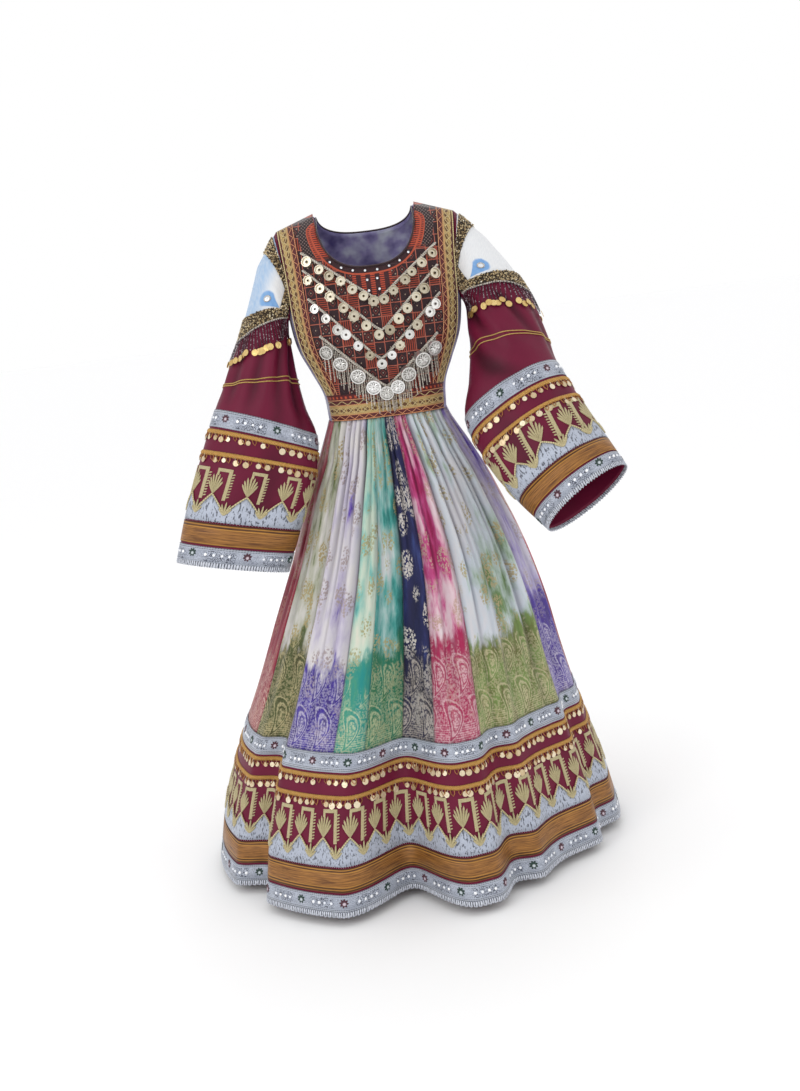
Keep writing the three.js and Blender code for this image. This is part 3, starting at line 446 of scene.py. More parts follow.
def gore_cloth(name, tops, dip, ground, thread, dip_height, brocade_height, sprigs, seed):
    """Cloud-dyed cloth that is dipped in a stronger colour and woven with paisleys in its lower third, with
    shade painted into its folds.
    """
    look = Look(name, roughness=0.6, sheen=0.12, specular=0.3)
    x, y = look.place()
    shift = seed * 3.7
    broad = look.noise(look.point(x * 17.0 + shift, y * 6.0, shift), 1.0, 3.0, 0.55)
    fine = look.noise(look.point(x * 60.0 + shift, y * 19.0, shift), 1.0, 4.0, 0.62)
    grain = look.noise(look.point(x, y, shift), 420.0, 2.0, 0.6)
    clouds = look.ramp((broad * 0.68 + fine * 0.32 - 0.5) * 1.55 + 0.5, tops)
    ragged = y + (broad - 0.5) * 0.15 + (fine - 0.5) * 0.11
    dipped = 1 - look.step(ragged, dip_height - 0.02, dip_height + 0.02)
    base = look.mix(dipped, clouds, look.mix(look.step(fine, 0.35, 0.7), dip, ground))

    # Flowers on the upper cloth: loose clusters of small petals, in gold or in silver
    spread = look.cells(look.point(x + shift, y * 0.72, 0.0), 24.0, "F1", 0.8)
    cluster = look.wire(spread, "Distance") + (fine - 0.5) * 0.55
    petals = look.wire(look.cells(look.point(x, y, shift), 190.0, "F1", 0.9), "Distance")
    wide = 0.07 * (sprigs > 0.9)
    spray = look.step(cluster, 0.50 + wide, 0.36 + wide) * look.step(petals, 0.62, 0.44)
    flowers = look.limit(spray * (0.3 + sprigs))

    # The brocade: rows of paisleys with dark outlines on a ground full of small curls, and a band of
    # fine bars at its foot
    width, height = 0.058, 0.088
    row = look.math("FLOOR", y / height)
    cell_x = look.frac(x / width + row * 0.5 + 0.25 * seed) - 0.5
    cell_y = look.frac(y / height) - 0.5
    lean = cell_x * width + cell_y * cell_y * 0.075 - 0.006
    taper = 0.62 + cell_y * 0.78
    drop = look.math("SQRT", (lean / taper) ** 2.0 + (cell_y * height * 0.62) ** 2.0)
    curls = look.wire(look.cells(look.point(x, y * 0.9, 0.0), 290.0, "SMOOTH_F1", 0.95), "Distance")
    fill = look.step(curls + (grain - 0.5) * 0.7, 0.60, 0.26)
    dark = look.near(drop, 0.0215, 0.0028, 0.0016) + look.near(drop, 0.0125, 0.0018, 0.0008)
    leafy = look.step(drop, 0.0225, 0.0205)
    beads = look.near(drop, 0.0262, 0.0016, 0.0008) + look.near(drop, 0.0172, 0.0012, 0.0006)
    bars = look.step(look.wave(y, 0.0044), -0.1, 0.4) * (1 - look.step(y, 0.034, 0.042))
    filled = fill * (leafy * 0.25 + 0.6) + leafy * 0.22 + beads * 0.6 + bars * 0.4
    woven = look.limit(filled) * (1 - look.limit(dark) * 0.85)
    stalks = look.noise(look.point(x * 75.0, y * 14.0, shift), 1.0, 2.0)
    reach = y + (stalks - 0.5) * 0.17 + look.step(drop, 0.028, 0.018) * -0.02
    brocade = woven * (1 - look.step(reach, brocade_height - 0.012, brocade_height + 0.016))
    tone = look.mix(grain, thread, dye_lighter(thread))
    flowered = look.mix(flowers * (1 - dipped * 0.5), base, look.mix(grain, FLOWER[sprigs > 0.9], tone))
    worked = look.mix(brocade * 0.85, flowered, tone)
    # Painted shade: the cloth's colour is multiplied towards a dull grey-violet where the fold mark says it
    # lies in a fold.
    look.colour(look.shade(look.mark("hollow") * 0.72, worked, (0.36, 0.34, 0.40, 1.0)))
    look.feed("Metallic", brocade * 0.2)
    look.bump(look.limit(brocade * 0.6 + flowers * 0.4 + threads(look, x, y, 0.0016) * 0.3), 0.0006)
    return look.material


# Each dye: its slot, cloud colours, dip, brocade ground and brocade thread
DYES = {
    "rose": ("rose_cloth", ((0.3, "d8c4c2"), (0.5, "b7606c"), (0.7, "8f2038")),
             "8e1c34", "7a2436", "b98d80"),
    "olive": ("olive_cloth", ((0.3, "54632f"), (0.42, "a9ab97"), (0.6, "cbc8c2")),
              "46512a", "3c3a1b", "a39765"),
    "violet": ("violet_cloth", ((0.24, "5b3fa3"), (0.36, "b4abc4"), (0.5, "cbc6cf"), (0.7, "d6d2cf")),
               "3b2690", "38286c", "a8a1be"),
    "aqua": ("aqua_cloth", ((0.3, "218080"), (0.45, "7fb8ae"), (0.6, "b9cdbb"), (0.75, "d2d2c2")),
             "1d8580", "3f8f76", "a3b48c"),
    "green": ("green_cloth", ((0.32, "17605a"), (0.45, "3f9089"), (0.6, "8fb5b0"), (0.74, "c3c7c6")),
              "1c6f58", "2c6a47", "95a377"),
    "navy": ("navy_cloth", ((0.3, "14153a"), (0.55, "1d2050"), (0.72, "35447f"), (0.8, "93a3c4")),
             "15163a", "221f28", "9c9189"),
    "pink": ("pink_cloth", ((0.34, "9c1a55"), (0.46, "b8477f"), (0.58, "d3aeb9"), (0.74, "d9cdd0")),
             "a01a4c", "97405a", "c99ba2"),
    "sage": ("sage_cloth", ((0.28, "64804f"), (0.4, "a9bab0"), (0.52, "c4ccd4"), (0.7, "cfced2")),
             "71894a", "5f5e30", "b0a77a"),
    "lilac": ("lavender_cloth", ((0.3, "5f47ac"), (0.45, "a297c4"), (0.65, "cbc6d4")),
              "4a3494", "4d3d80", "b0a8c2"),
    "pale": ("pale_cloth", ((0.28, "7d9183"), (0.42, "b8c0bd"), (0.6, "ccced2")),
             "8f9a6a", "6a693b", "b0a77a"),
}
# Each gore: its name, dye, edges in degrees, gathers, height of the dip and of the brocade above the
# border in metres, and how strong the flowers are
GORES = (
    ("gore_01_rose", "rose", -90, -67, 4, 0.34, 0.13, 0.5),
    ("gore_02_olive", "olive", -67, -49, 3, 0.2, 0.19, 0.75),
    ("gore_03_violet", "violet", -49, -27, 4, 0.17, 0.145, 0.8),
    ("gore_04_aqua", "aqua", -27, -17, 2, 0.2, 0.11, 0.85),
    ("gore_05_green", "green", -17, -5, 2, 0.2, 0.165, 0.75),
    ("gore_06_navy", "navy", -5, 6.5, 2, 0.17, 0.15, 1.0),
    ("gore_07_pink", "pink", 6.5, 22, 3, 0.22, 0.185, 0.6),
    ("gore_08_sage", "sage", 22, 63, 6, 0.19, 0.165, 0.6),
    ("gore_09_lilac", "lilac", 63, 87, 4, 0.22, 0.15, 0.4),
    ("gore_10_back_rose", "rose", 87, 115, 4, 0.24, 0.16, 0.5),
    ("gore_11_back_teal", "aqua", 115, 139, 4, 0.22, 0.17, 0.85),
    ("gore_12_back_pale", "pale", 139, 164, 4, 0.2, 0.16, 0.6),
    ("gore_13_back_navy", "navy", 164, 189, 4, 0.18, 0.16, 1.0),
    ("gore_14_back_olive", "olive", 189, 215, 4, 0.2, 0.18, 0.75),
    ("gore_15_back_pink", "pink", 215, 243, 4, 0.23, 0.16, 0.6),
    ("gore_16_back_violet", "violet", 243, 270, 4, 0.19, 0.17, 0.8),
)
GORE_EDGES = [gore[2] for gore in GORES] + [GORES[-1][3]]
GATHER_COUNTS = np.concatenate([[0], np.cumsum([gore[4] for gore in GORES])])
chance = random.Random(7)
half_gathers = 2 * int(GATHER_COUNTS[-1]) + 1
gather_depth = np.array([chance.uniform(0.35, 1.45) for _ in range(half_gathers)])
gather_reach = np.array([chance.uniform(0.5, 1.5) for _ in range(half_gathers)])
pleat_depth = np.array([chance.uniform(0.3, 1.5) for _ in range(half_gathers)])
for depths in (gather_depth, gather_reach, pleat_depth):
    depths[-1] = depths[0]


def gather_height(turn, z):
    """How far the gathered cloth stands out, with gathers of uneven depth and length."""
    count = np.interp(turn, GORE_EDGES, GATHER_COUNTS)
    spots = np.arange(half_gathers) / 2
    reach = np.interp(count, spots, gather_reach)
    rise = read(GATHER_RISE, 1, WAIST + (z - WAIST) / reach) * np.interp(count, spots, gather_depth)
    lap = 2 * np.pi * count / GATHER_COUNTS[-1]
    uneven = count + 0.15 * np.sin(19 * lap) + 0.08 * np.sin(33 * lap)
    sway = 0.10 * np.sin(z / 55 + 16 * lap)
    wave = -np.cos(2 * np.pi * (uneven + sway * np.clip((WAIST - z) / 200, 0, 1)))
    narrow = -0.28 * np.cos(4 * np.pi * uneven)
    small = 1.5 * np.cos(4 * np.pi * uneven + 1.5 * np.sin(21 * lap)) * np.interp(count, spots, pleat_depth)
    close = np.clip(1 - (WAIST - z) / (190 * reach), 0, 1)
    return rise * (wave + narrow) + small * close


GORE_STEP = 0.62
SEAM_DIP = 1.3
gore_rows = np.concatenate([np.linspace(WAIST, -520, 15)[:-1], np.linspace(-520, BORDER, 38)])
for number, (name, dye, start, end, _, dip_at, brocade_at, sprigs) in enumerate(GORES):
    slot, tops, dip, ground, thread = DYES[dye]
    turns = np.linspace(start, end, round((end - start) / GORE_STEP) + 1)
    turn, z = np.meshgrid(turns, gore_rows)
    reach = np.linalg.norm(skirt_point(turn, z)[..., :2], axis=-1)
    from_seam = np.radians(np.minimum(turn - start, end - turn)) * reach
    out = gather_height(turn, z) - SEAM_DIP * np.exp(-((from_seam / 2.2) ** 2))
    points = skirt_point(turn, z, out)
    edge = skirt_point(turns, np.full(len(turns), BORDER))
    width = along_line(edge) * MM
    across, above = np.meshgrid(width, (gore_rows - BORDER) * MM * 1.08)
    # Painted shade: a mark that is high in the hollows of the gathers, beside the seams and in the flutes,
    # where shade falls. The cloth's material darkens its colour by it.
    hollow = np.clip(-out / 4.0, 0, 1) ** 1.2 + 0.55 * np.clip(flute_depth(turn, z) / 8, 0, 1)
    piece = sheet_mesh(name + "_cloth", points, np.stack([across, above], axis=-1),
                       marks={"hollow": np.clip(hollow, 0, 1)})
    give_wall(piece, CLOTH)
    material = gore_cloth(name + "_dye", tops, dip, ground, thread, dip_at, brocade_at, sprigs, number + 1)
    settle(piece, material, slot, name)
    waist_width = along_line(points[0])[-1] * MM
    length = along_line(points[:, len(turns) // 2])[-1] * MM
    0.5 * (width[-1] + max(waist_width, 0.5 * width[-1])) * length


# The skirt's border: burgundy satin, cut in lengths that are joined end to end and sewn under the
# gores. It carries the trims, the coins and the embroidery.
HEM_COLUMNS = 560
HEM_TALL = BORDER - HEM
HEM_MIDDLE = (BORDER + HEM) / 2
turn_steps = np.linspace(-90, 270, 2881)
run = along_line(skirt_point(turn_steps, np.full(len(turn_steps), HEM_MIDDLE)))
HEM_LONG = run[-1]
hem_turns = np.interp(np.arange(HEM_COLUMNS) / HEM_COLUMNS * HEM_LONG, run, turn_steps)
hem_grid = np.meshgrid(hem_turns, np.linspace(BORDER, HEM, 42))
hem = Surface(skirt_point(*hem_grid), closed=True)


def strip_map(columns, rows, long, tall):
    """The map of a strip that goes round: metres along it and across it."""
    along, across = np.meshgrid(np.arange(columns + 1) / columns * long, np.linspace(0, 1, rows) * tall)
    return np.stack([along * MM, across * MM], axis=-1)


def satin(name, deep, light):
    """Burgundy satin, a smooth cloth with a soft gloss and a fine weave, with shade painted into the folds of
    the sleeves.
    """
    look = Look(name, roughness=0.42, sheen=0.0, specular=0.2)
    x, y = look.place()
    soft = look.noise(look.point(x * 14, y * 14), 1.0, 3.0)
    fine = look.noise(look.point(x * 900, y * 120), 1.0, 2.0)
    even = look.mix(soft * 0.7 + fine * 0.3, deep, light)
    # Painted shade: the satin is multiplied towards a near-black plum where the sleeves' fold mark is high.
    look.colour(look.shade(look.mark("hollow") * 0.8, even, (0.22, 0.18, 0.24, 1.0)))
    look.feed("Roughness", 0.40 + fine * 0.16)
    look.bump(fine * 0.6 + threads(look, x, y, 0.0012) * 0.4, 0.00012)
    return look.material


burgundy = satin("burgundy_satin", "4e0924", "781739")
HEM_ROWS = 11
hem_u, hem_v = np.meshgrid(np.arange(HEM_COLUMNS) / HEM_COLUMNS, np.linspace(0, 1, HEM_ROWS))
hem_map = strip_map(HEM_COLUMNS, HEM_ROWS, HEM_LONG, HEM_TALL)
hem_cloth = sheet_mesh("hem_cloth", hem.at(hem_u, hem_v), hem_map, closed=True, turned=hem.turned)
give_wall(hem_cloth, CLOTH)
settle(hem_cloth, burgundy, "burgundy_satin", *[f"hem_panel_{n}" for n in range(1, 6)])


# The sleeves: wide tubes of the same satin with their own border at the cuff. The arm on the right of
# the picture is bent forward, so its cloth breaks into folds from the inside of the elbow.
# The bodice's sections by height: half width, depth in front of the middle and depth behind it
BODICE = (
    (-420, 123, 92, 84), (-365, 128, 99, 86), (-320, 146, 112, 90), (-267, 168, 126, 96),
    (-205, 178, 124, 104), (-150, 181, 112, 106), (-100, 184, 96, 102), (-60, 188, 80, 94),
    (-27, 192, 68, 84), (0, 195, 58, 74),
)
# The armhole's back, from the shoulder down: degrees from the middle of the back, and height
ARMHOLE = ((70, -60), (72, -110), (76, -160), (82, -192), (90, -205), (100, -200))
BODICE_MIDDLE = np.array([0.0, 0.0, -250.0])
# How square the body's sections and the curve of the neck are, where 2 is round, then half the width
# of the neck and how deep it is cut in front and behind
ROUNDNESS = 2.6
NECK_ROUNDNESS = 2.6
NECK_HALF = 100
NECK_FRONT = 122
NECK_BACK = 45
PANEL_EDGE = 0.94


def shoulder_line(x):
    """The height of the shoulder at a place across, sloping down from the neck's side."""
    return -np.maximum(np.abs(x) - NECK_HALF, 0) * math.tan(math.radians(19))


def bodice_point(angle, z):
    """A point of the bodice's outside, at an angle in radians from the middle of the front."""
    angle, z = np.broadcast_arrays(np.asarray(angle, float), np.asarray(z, float))
    s, c = np.sin(angle), np.cos(angle)
    x = read(BODICE, 1, z) * np.sign(s) * np.abs(s) ** (2 / ROUNDNESS)
    depth = np.where(c > 0, read(BODICE, 2, z), read(BODICE, 3, z))
    below = np.clip((shoulder_line(x) - z) / 60, 0, 1)
    ridge = np.sqrt(1 - (1 - below) ** 2)
    return np.stack([x, -depth * ridge * np.sign(c) * np.abs(c) ** (2 / ROUNDNESS), z], axis=-1)


def panel_angle(share):
    """The angle of a place on the front, from its share of the half width."""
    return np.sign(share) * np.arcsin(np.abs(share) ** (ROUNDNESS / 2))


def column_top(angle, drop):
    """The height at which a column of the bodice ends, on the neckline or on the shoulder."""
    z = np.full(np.shape(angle), -60.0)
    for _ in range(30):
        x = bodice_point(angle, z)[..., 0]
        share = np.minimum(np.abs(x) / NECK_HALF, 1)
        neck = -drop * (1 - share**NECK_ROUNDNESS) ** (1 / NECK_ROUNDNESS)
        z = z + (np.where(np.abs(x) < NECK_HALF - 0.2, neck, shoulder_line(x)) - z) / 2
    return z


# Rings from the arm's top to the cuff: number, outer point, inner point and half depth
SLEEVE_RINGS = {
    "right": (
        (1, 238, -10, -88, 188, -12, -232, 66), (2, 282, -26, -152, 186, -30, -272, 74),
        (3, 314, -46, -214, 182, -58, -312, 78), (4, 338, -78, -296, 168, -96, -378, 80),
        (5, 350, -112, -356, 152, -130, -447, 80), (6, 384, -168, -436, 186, -168, -535, 78),
        (7, 410, -226, -494, 232, -202, -604, 75), (8, 430, -275, -542, 283, -228, -662, 72),
    ),
    "left": (
        (1, -226, -6, -92, -184, -8, -236, 64), (2, -256, -14, -168, -180, -18, -280, 70),
        (3, -286, -26, -240, -176, -30, -325, 72), (4, -320, -44, -312, -166, -46, -388, 72),
        (5, -350, -58, -368, -150, -62, -447, 70), (6, -394, -74, -466, -164, -80, -530, 66),
        (7, -434, -90, -565, -204, -94, -618, 62), (8, -464, -100, -654, -239, -104, -702, 60),
    ),
}
# Folds of the sleeves: round and down at one end, round and down at the other, width and depth
SLEEVE_FOLDS = {
    "right": (
        (0.47, 2.9, 0.27, 4.3, 15, 11), (0.40, 3.4, 0.16, 4.7, 15, -8), (0.45, 4.1, 0.22, 4.98, 12, 9),
        (0.22, 3.2, 0.13, 4.2, 13, 7), (0.30, 3.1, 0.24, 3.8, 9, -6), (0.07, 3.3, 0.03, 4.9, 15, 6),
        (0.36, 3.1, 0.34, 3.9, 9, 6), (0.55, 2.8, 0.70, 4.4, 14, 9), (0.76, 3.1, 0.86, 4.7, 15, 7),
        (0.58, 4.0, 0.80, 4.95, 12, -6), (0.93, 3.2, 0.95, 4.6, 13, 5), (0.33, 5.0, 0.31, 7.6, 26, 5),
        (0.66, 5.0, 0.68, 7.8, 26, 6), (0.10, 5.1, 0.12, 7.4, 24, 4),
    ),
    "left": (
        (0.43, 2.9, 0.38, 4.95, 14, 9), (0.33, 3.1, 0.29, 4.98, 12, 6), (0.22, 3.4, 0.19, 4.9, 12, 6),
        (0.28, 3.6, 0.24, 4.9, 9, -4), (0.10, 3.1, 0.11, 4.9, 14, 5), (0.03, 3.3, 0.05, 4.4, 12, -4),
        (0.56, 2.9, 0.62, 4.9, 14, 8), (0.70, 3.1, 0.74, 4.8, 13, 6), (0.84, 3.2, 0.87, 4.9, 14, 6),
        (0.93, 3.4, 0.92, 4.7, 10, -4), (0.30, 5.0, 0.30, 7.7, 26, 5), (0.68, 5.0, 0.66, 7.8, 26, 5),
        (0.90, 5.2, 0.90, 7.5, 22, 4),
    ),
}
SLEEVE_COLUMNS = 200
SLEEVE_ROWS = 88
SLEEVE_ROUND = 520
SLEEVE_LONG = 640
RINGS = 8
RING_GAP = 82
CUFF_TOP = 5 / RINGS


def ring_centre(rings, at):
    """The outer point, the inner point and the middle of a sleeve's ring."""
    ends = [read(rings, column, at) for column in range(1, 7)]
    outer, inner = np.stack(ends[:3], axis=-1), np.stack(ends[3:], axis=-1)
    return outer, inner, (outer + inner) / 2


def ring_point(rings, at, turn):
    """A point of a sleeve's ring, at an angle in radians from its outer point."""
    outer, inner, centre = ring_centre(rings, at)
    axis = ring_centre(rings, at + 0.3)[2] - ring_centre(rings, at - 0.3)[2]
    major = outer - inner
    minor = np.cross(axis, major)
    minor = unit(minor)
    minor = np.where(minor[..., 1:2] > 0, -minor, minor)
    deep = read(rings, 7, at)[..., None]
    return centre + major * np.cos(turn)[..., None] / 2 + minor * deep * np.sin(turn)[..., None]


def armhole_point(side, share):
    """The armhole from the shoulder's tip down the front, under the arm and up the back."""
    edge = panel_angle(PANEL_EDGE)
    tip = float(column_top(edge, NECK_FRONT))
    down = bodice_point(edge, tip + (-185 - tip) * np.arange(11) / 10)
    back = [bodice_point(math.pi - math.radians(turn), z) for turn, z in reversed(ARMHOLE)]
    loop = np.concatenate([down, np.array(back), down[:1]]) * (side, 1, 1)
    run = along_line(loop)
    return np.stack([np.interp((share % 1.0) * run[-1], run, loop[:, i]) for i in range(3)], axis=-1)


def sleeve_surface(name, side):
    """A sleeve as a closed sheet that starts on the armhole and has its folds pressed in, with a mark of
    painted shade in them.
    """
    rings = SLEEVE_RINGS[name]
    share, row = np.meshgrid(np.arange(SLEEVE_COLUMNS) / SLEEVE_COLUMNS, np.linspace(0, RINGS, SLEEVE_ROWS))
    cap = 0.25 + 2.75 * np.abs(np.cos(np.pi * share)) ** 1.8
    level = np.where(row < 3, cap * row / 3, np.where(row < 5, cap + (5 - cap) * (row - 3) / 2, row))
    points = ring_point(rings, np.maximum(level, 1), 2 * np.pi * share)
    start = armhole_point(side, share) + (side * 0.8, 0, 0)
    near = np.minimum(level, 1)[..., None]
    points = np.where(level[..., None] < 1, start * (1 - near) + points * near, points)
    plain = Surface(points, closed=True)
    inward = np.zeros(share.shape)
    for u1, r1, u2, r2, width, depth in SLEEVE_FOLDS[name]:
        dx, dy = (u2 - u1) * SLEEVE_ROUND, (r2 - r1) * RING_GAP
        x, y = ((share - u1 + 0.5) % 1 - 0.5) * SLEEVE_ROUND, (row - r1) * RING_GAP
        along = np.clip((x * dx + y * dy) / (dx * dx + dy * dy), 0, 1)
        off = np.hypot(x - dx * along, y - dy * along)
        inward = inward + depth * np.exp(-((off / width) ** 2)) * np.sin(np.pi * (0.12 + 0.76 * along))
    made = Surface(points - plain.normal * inward[..., None], closed=True)
    # Painted shade: the depth of the folds, kept as a mark that darkens the satin in them.
    made.hollow = np.clip((inward - 1.0) / 7.0, 0, 1)
    return made


sleeves = {"right": sleeve_surface("right", 1), "left": sleeve_surface("left", -1)}
sleeve_cloths = {}
for name, surface in sleeves.items():
    cloth = sheet_mesh("sleeve_cloth_" + name, surface.points[:, ::2],
                       strip_map(SLEEVE_COLUMNS // 2, SLEEVE_ROWS, SLEEVE_ROUND, SLEEVE_LONG),
                       closed=True, turned=surface.turned, marks={"hollow": surface.hollow[:, ::2]})
    give_wall(cloth, CLOTH)
    settle(cloth, burgundy, "burgundy_satin", "sleeve_" + name)
    sleeve_cloths[name] = cloth


# The bodice: a front panel of dark cotton that is covered in couched stitches, and a back of lilac
# tie-dyed cotton that reaches round under the arms. The two are seamed on the shoulders and sides.
def shares_to(edge):
    """Columns of the panel, closer together at the corner of the neck."""
    corner = [0.42, 0.44, 0.46, 0.475, 0.488, 0.498, 0.505, 0.510, 0.513]
    half = np.concatenate([np.arange(0, 0.42, 0.03), corner, np.arange(0.53, edge - 0.01, 0.03), [edge]])
    return np.concatenate([-half[:0:-1], half])


PANEL_ROWS = 46
panel_shares = shares_to(PANEL_EDGE)
panel_angles = panel_angle(panel_shares)
panel_tops = column_top(panel_angles, NECK_FRONT)
row_share = np.linspace(0, 1, PANEL_ROWS)[:, None]
panel_z = panel_tops + (WAIST - panel_tops) * row_share
panel = Surface(bodice_point(panel_angles, panel_z), middle=BODICE_MIDDLE)


def flat_map(points):
    """A map of the front as it is seen: metres across and down."""
    return np.stack([points[..., 0], points[..., 2]], axis=-1) * MM


neck_turns = panel_angle(np.linspace(-0.52, 0.52, 400))
neck_line = bodice_point(neck_turns, column_top(neck_turns, NECK_FRONT))
gap_to_neck = np.array([np.linalg.norm(neck_line - p, axis=-1).min() for p in panel.points.reshape(-1, 3)])
front_cloth = sheet_mesh("front_cloth", panel.points, flat_map(panel.points), turned=panel.turned,
                         marks={"neck": gap_to_neck * MM})
give_wall(front_cloth, CLOTH)


def couched_panel():
    """Near-black cotton under a grid of couched orange thread: filled cells, ladders beside the neck
    and stripes under it, with pale stitches in the open cells."""
    look = Look("couched_panel", roughness=0.78, sheen=0.2)
    x, y = look.place()
    neck = look.mark("neck")
    grain = look.noise(look.point(x * 700, y * 700), 1.0, 3.0, 0.6)
    wobble = (look.noise(look.point(x * 70, y * 70), 1.0, 2.0) - 0.5) * 0.0024
    column, row = (x + wobble) / 0.0205 + 0.5, (y + wobble) / 0.0245
    cell_x, cell_y = look.frac(column) - 0.5, look.frac(row) - 0.5
    number = look.point(look.math("FLOOR", column), look.math("FLOOR", row))
    pick = look.wire(look.node("TexWhiteNoise", {"noise_dimensions": "2D"}, {"Vector": number}))
    ground = look.mix(grain, "12060a", "34101a")

    # Cells filled with rungs of orange thread, and diamonds with a pale stitch in the open ones
    rungs = look.step(look.wave(y, 0.0042), -0.25, 0.35)
    posts = look.step(look.wave(x, 0.0042), -0.25, 0.35)
    full = look.step(pick, 0.79, 0.80)
    upright = look.step(pick, 0.89, 0.90)
    laid = rungs * (1 - upright) + posts * upright
    diamond = look.far(cell_x) + look.far(cell_y)
    figure = look.near(diamond, 0.27, 0.055, 0.03)
    pale = look.step(diamond, 0.085, 0.05)
    dots = look.step(look.far(look.far(cell_x) - 0.30) + look.far(look.far(cell_y) - 0.30), 0.09, 0.05)
    filled = look.mix(look.limit(full * laid), ground, look.mix(grain, "7d2819", "b54a2e"))
    open_cell = 1 - full
    drawn = look.mix(look.limit(figure * open_cell * look.step(pick, 0.3, 0.31) * 0.55), filled, "8f3a28")
    stitches = look.limit((pale + dots * look.step(pick, 0.5, 0.51)) * open_cell * 0.7)
    dotted = look.mix(stitches, drawn, "bda894")
    line_x = look.near(look.far(cell_x), 0.5, 0.052, 0.03)
    line_y = look.near(look.far(cell_y), 0.5, 0.044, 0.026)
    twist = look.wave(x + y, 0.0026) * 0.5 + 0.5
    lines = look.limit(line_x + line_y)
    netted = look.mix(lines, dotted, look.mix(twist, "8a3324", "c2705a"))

    # The block of upright stripes under the neck
    block = look.near(x, 0.001, 0.040, 0.038) * look.step(y, -0.178, -0.176)
    stripe = look.step(look.sine((x - 0.001) * (math.tau / 0.0185) + 1.2), -0.1, 0.15)
    ladder = look.mix(rungs, "4f1313", "b8482c")
    striped = look.mix(stripe, look.mix(grain, "1b0a0d", "4b141b"), ladder)
    blocked = look.mix(block, netted, striped)

    # The strips that follow the neck: a dark one with stitched rounds, an orange line, a ladder
    upper = look.step(y, -0.098, -0.088)
    strip = look.step(neck, 0.0135, 0.0125)
    dark_strip = look.mix(grain, "19080c", "3b0f18")
    dark_neck = look.mix(strip, blocked, dark_strip)
    beside = look.step(neck, 0.020, 0.019) * upper
    rail = look.near(neck, 0.0135, 0.0022, 0.0014) + look.near(neck, 0.021, 0.0016, 0.001) * upper
    laddered = look.mix(beside, dark_neck, ladder)
    outer = look.near(neck, 0.031, 0.009, 0.0082) * upper
    spotted = look.step(look.sine(x * 900) * look.sine(y * 900), 0.25, 0.5)
    speckled = look.mix(outer, laddered, look.mix(spotted, "1d0a10", "75605b"))
    railed = look.mix(look.limit(rail), speckled, look.mix(twist, "8d2d1b", "c45a3a"))
    look.colour(railed)
    raised = lines * 0.9 + full * laid * 0.6 + figure * open_cell * 0.5 + pale * 0.4
    worked = look.limit(raised + block * stripe * 0.5 + rail)
    look.bump(look.limit(worked + grain * 0.15), 0.0009)
    return look.material


settle(front_cloth, couched_panel(), "panel_cloth", "bodice_front")

half_turns = list(panel_angle(np.concatenate([np.linspace(0, 0.42, 12), [0.45, 0.475, 0.49, 0.503, 0.513],
                                              np.linspace(0.55, PANEL_EDGE, 9)])))
half_tops = list(column_top(np.pi - np.array(half_turns), NECK_BACK))
hole = np.array([(math.degrees(half_turns[-1]), half_tops[-1])] + [(t, z) for t, z in ARMHOLE]
                + [(180 - math.degrees(float(panel_angle(PANEL_EDGE))), -185)])
for turn in np.linspace(0, 1, 26)[1:]:
    spot = turn * (len(hole) - 1)
    half_turns.append(math.radians(float(np.interp(spot, range(len(hole)), hole[:, 0]))))
    half_tops.append(float(np.interp(spot, range(len(hole)), hole[:, 1])))
back_angles = np.concatenate([-np.array(half_turns[:0:-1]), half_turns]) + np.pi
back_tops = np.array(half_tops[:0:-1] + half_tops)
back_z = back_tops + (WAIST - back_tops) * row_share
back = Surface(bodice_point(back_angles, back_z), middle=BODICE_MIDDLE)
back_run = along_line(back.points[-1])
back_map = np.stack(np.broadcast_arrays(back_run * 1.3 * MM, back.points[..., 2] * MM), axis=-1)
back_cloth = sheet_mesh("back_cloth", back.points, back_map, turned=back.turned)
give_wall(back_cloth, CLOTH)
back_look = Look("lilac_tie_dye", roughness=0.7, sheen=0.2)
bx, by = back_look.place()
back_look.colour(back_look.ramp(back_look.noise(back_look.point(bx, by), 22.0, 3.0),
                                ((0.3, "4a3f7c"), (0.48, "8f88b8"), (0.66, "c9cede"))))
creases = back_look.noise(back_look.point(bx * 20, by * 7), 1.0, 2.0)
back_look.bump(creases * 0.9 + threads(back_look, bx, by, 0.0014) * 0.02, 0.012)
settle(back_cloth, back_look.material, "lilac_cloth", "bodice_back")


# The trims of the borders, sewn on in the same order round the hem and round both cuffs: a silver
# lace ribbon, two gimp braids, a zigzag of brocade, a gold ribbon and a second lace ribbon at the edge.
class Border:
    """The part of a sheet that carries the trims: its end, its top on the sheet, and its repeats."""

    def __init__(self, end, surface, top, repeats, columns, long, tall):
        self.end = end
        self.surface = surface
        self.top = top
        self.repeats = repeats
        self.columns = columns
        self.long = long
        self.tall = tall

    def down(self, share):
        """The sheet's v at a share of the border's height."""
        return self.top + share * (1 - self.top)

    def node(self, trim):
        return "hem_" + trim if self.end == "hem" else "cuff_" + trim + "_" + self.end


BORDERS = (
    Border("hem", hem, 0.0, 50, HEM_COLUMNS, HEM_LONG, HEM_TALL),
    Border("right", sleeves["right"], CUFF_TOP, 10, 240, 548, 236),
    Border("left", sleeves["left"], CUFF_TOP, 10, 240, 512, 240),
)
RIBBON = 1.0


def ribbon(border, trim, top, low, lift, material, slot, rows=3):
    """A flat ribbon round a border. Its edges are shares of the border, and the upper one may change
    along it."""
    columns = border.columns * (2 if rows > 3 else 1)
    u = np.arange(columns) / columns
    across = np.linspace(0, 1, rows)[:, None]
    share = top(u) * (1 - across) + low * across
    points = border.surface.at(u, border.down(share), lift)
    tall = (low - float(np.min(top(u)))) * border.tall
    strip = sheet_mesh(border.node(trim) + "_ribbon", points, strip_map(columns, rows, border.long, tall),
                       closed=True, turned=border.surface.turned)
    give_wall(strip, RIBBON)
    settle(strip, material, slot, *([] if trim == "edge" else [border.node(trim)]))
    return strip


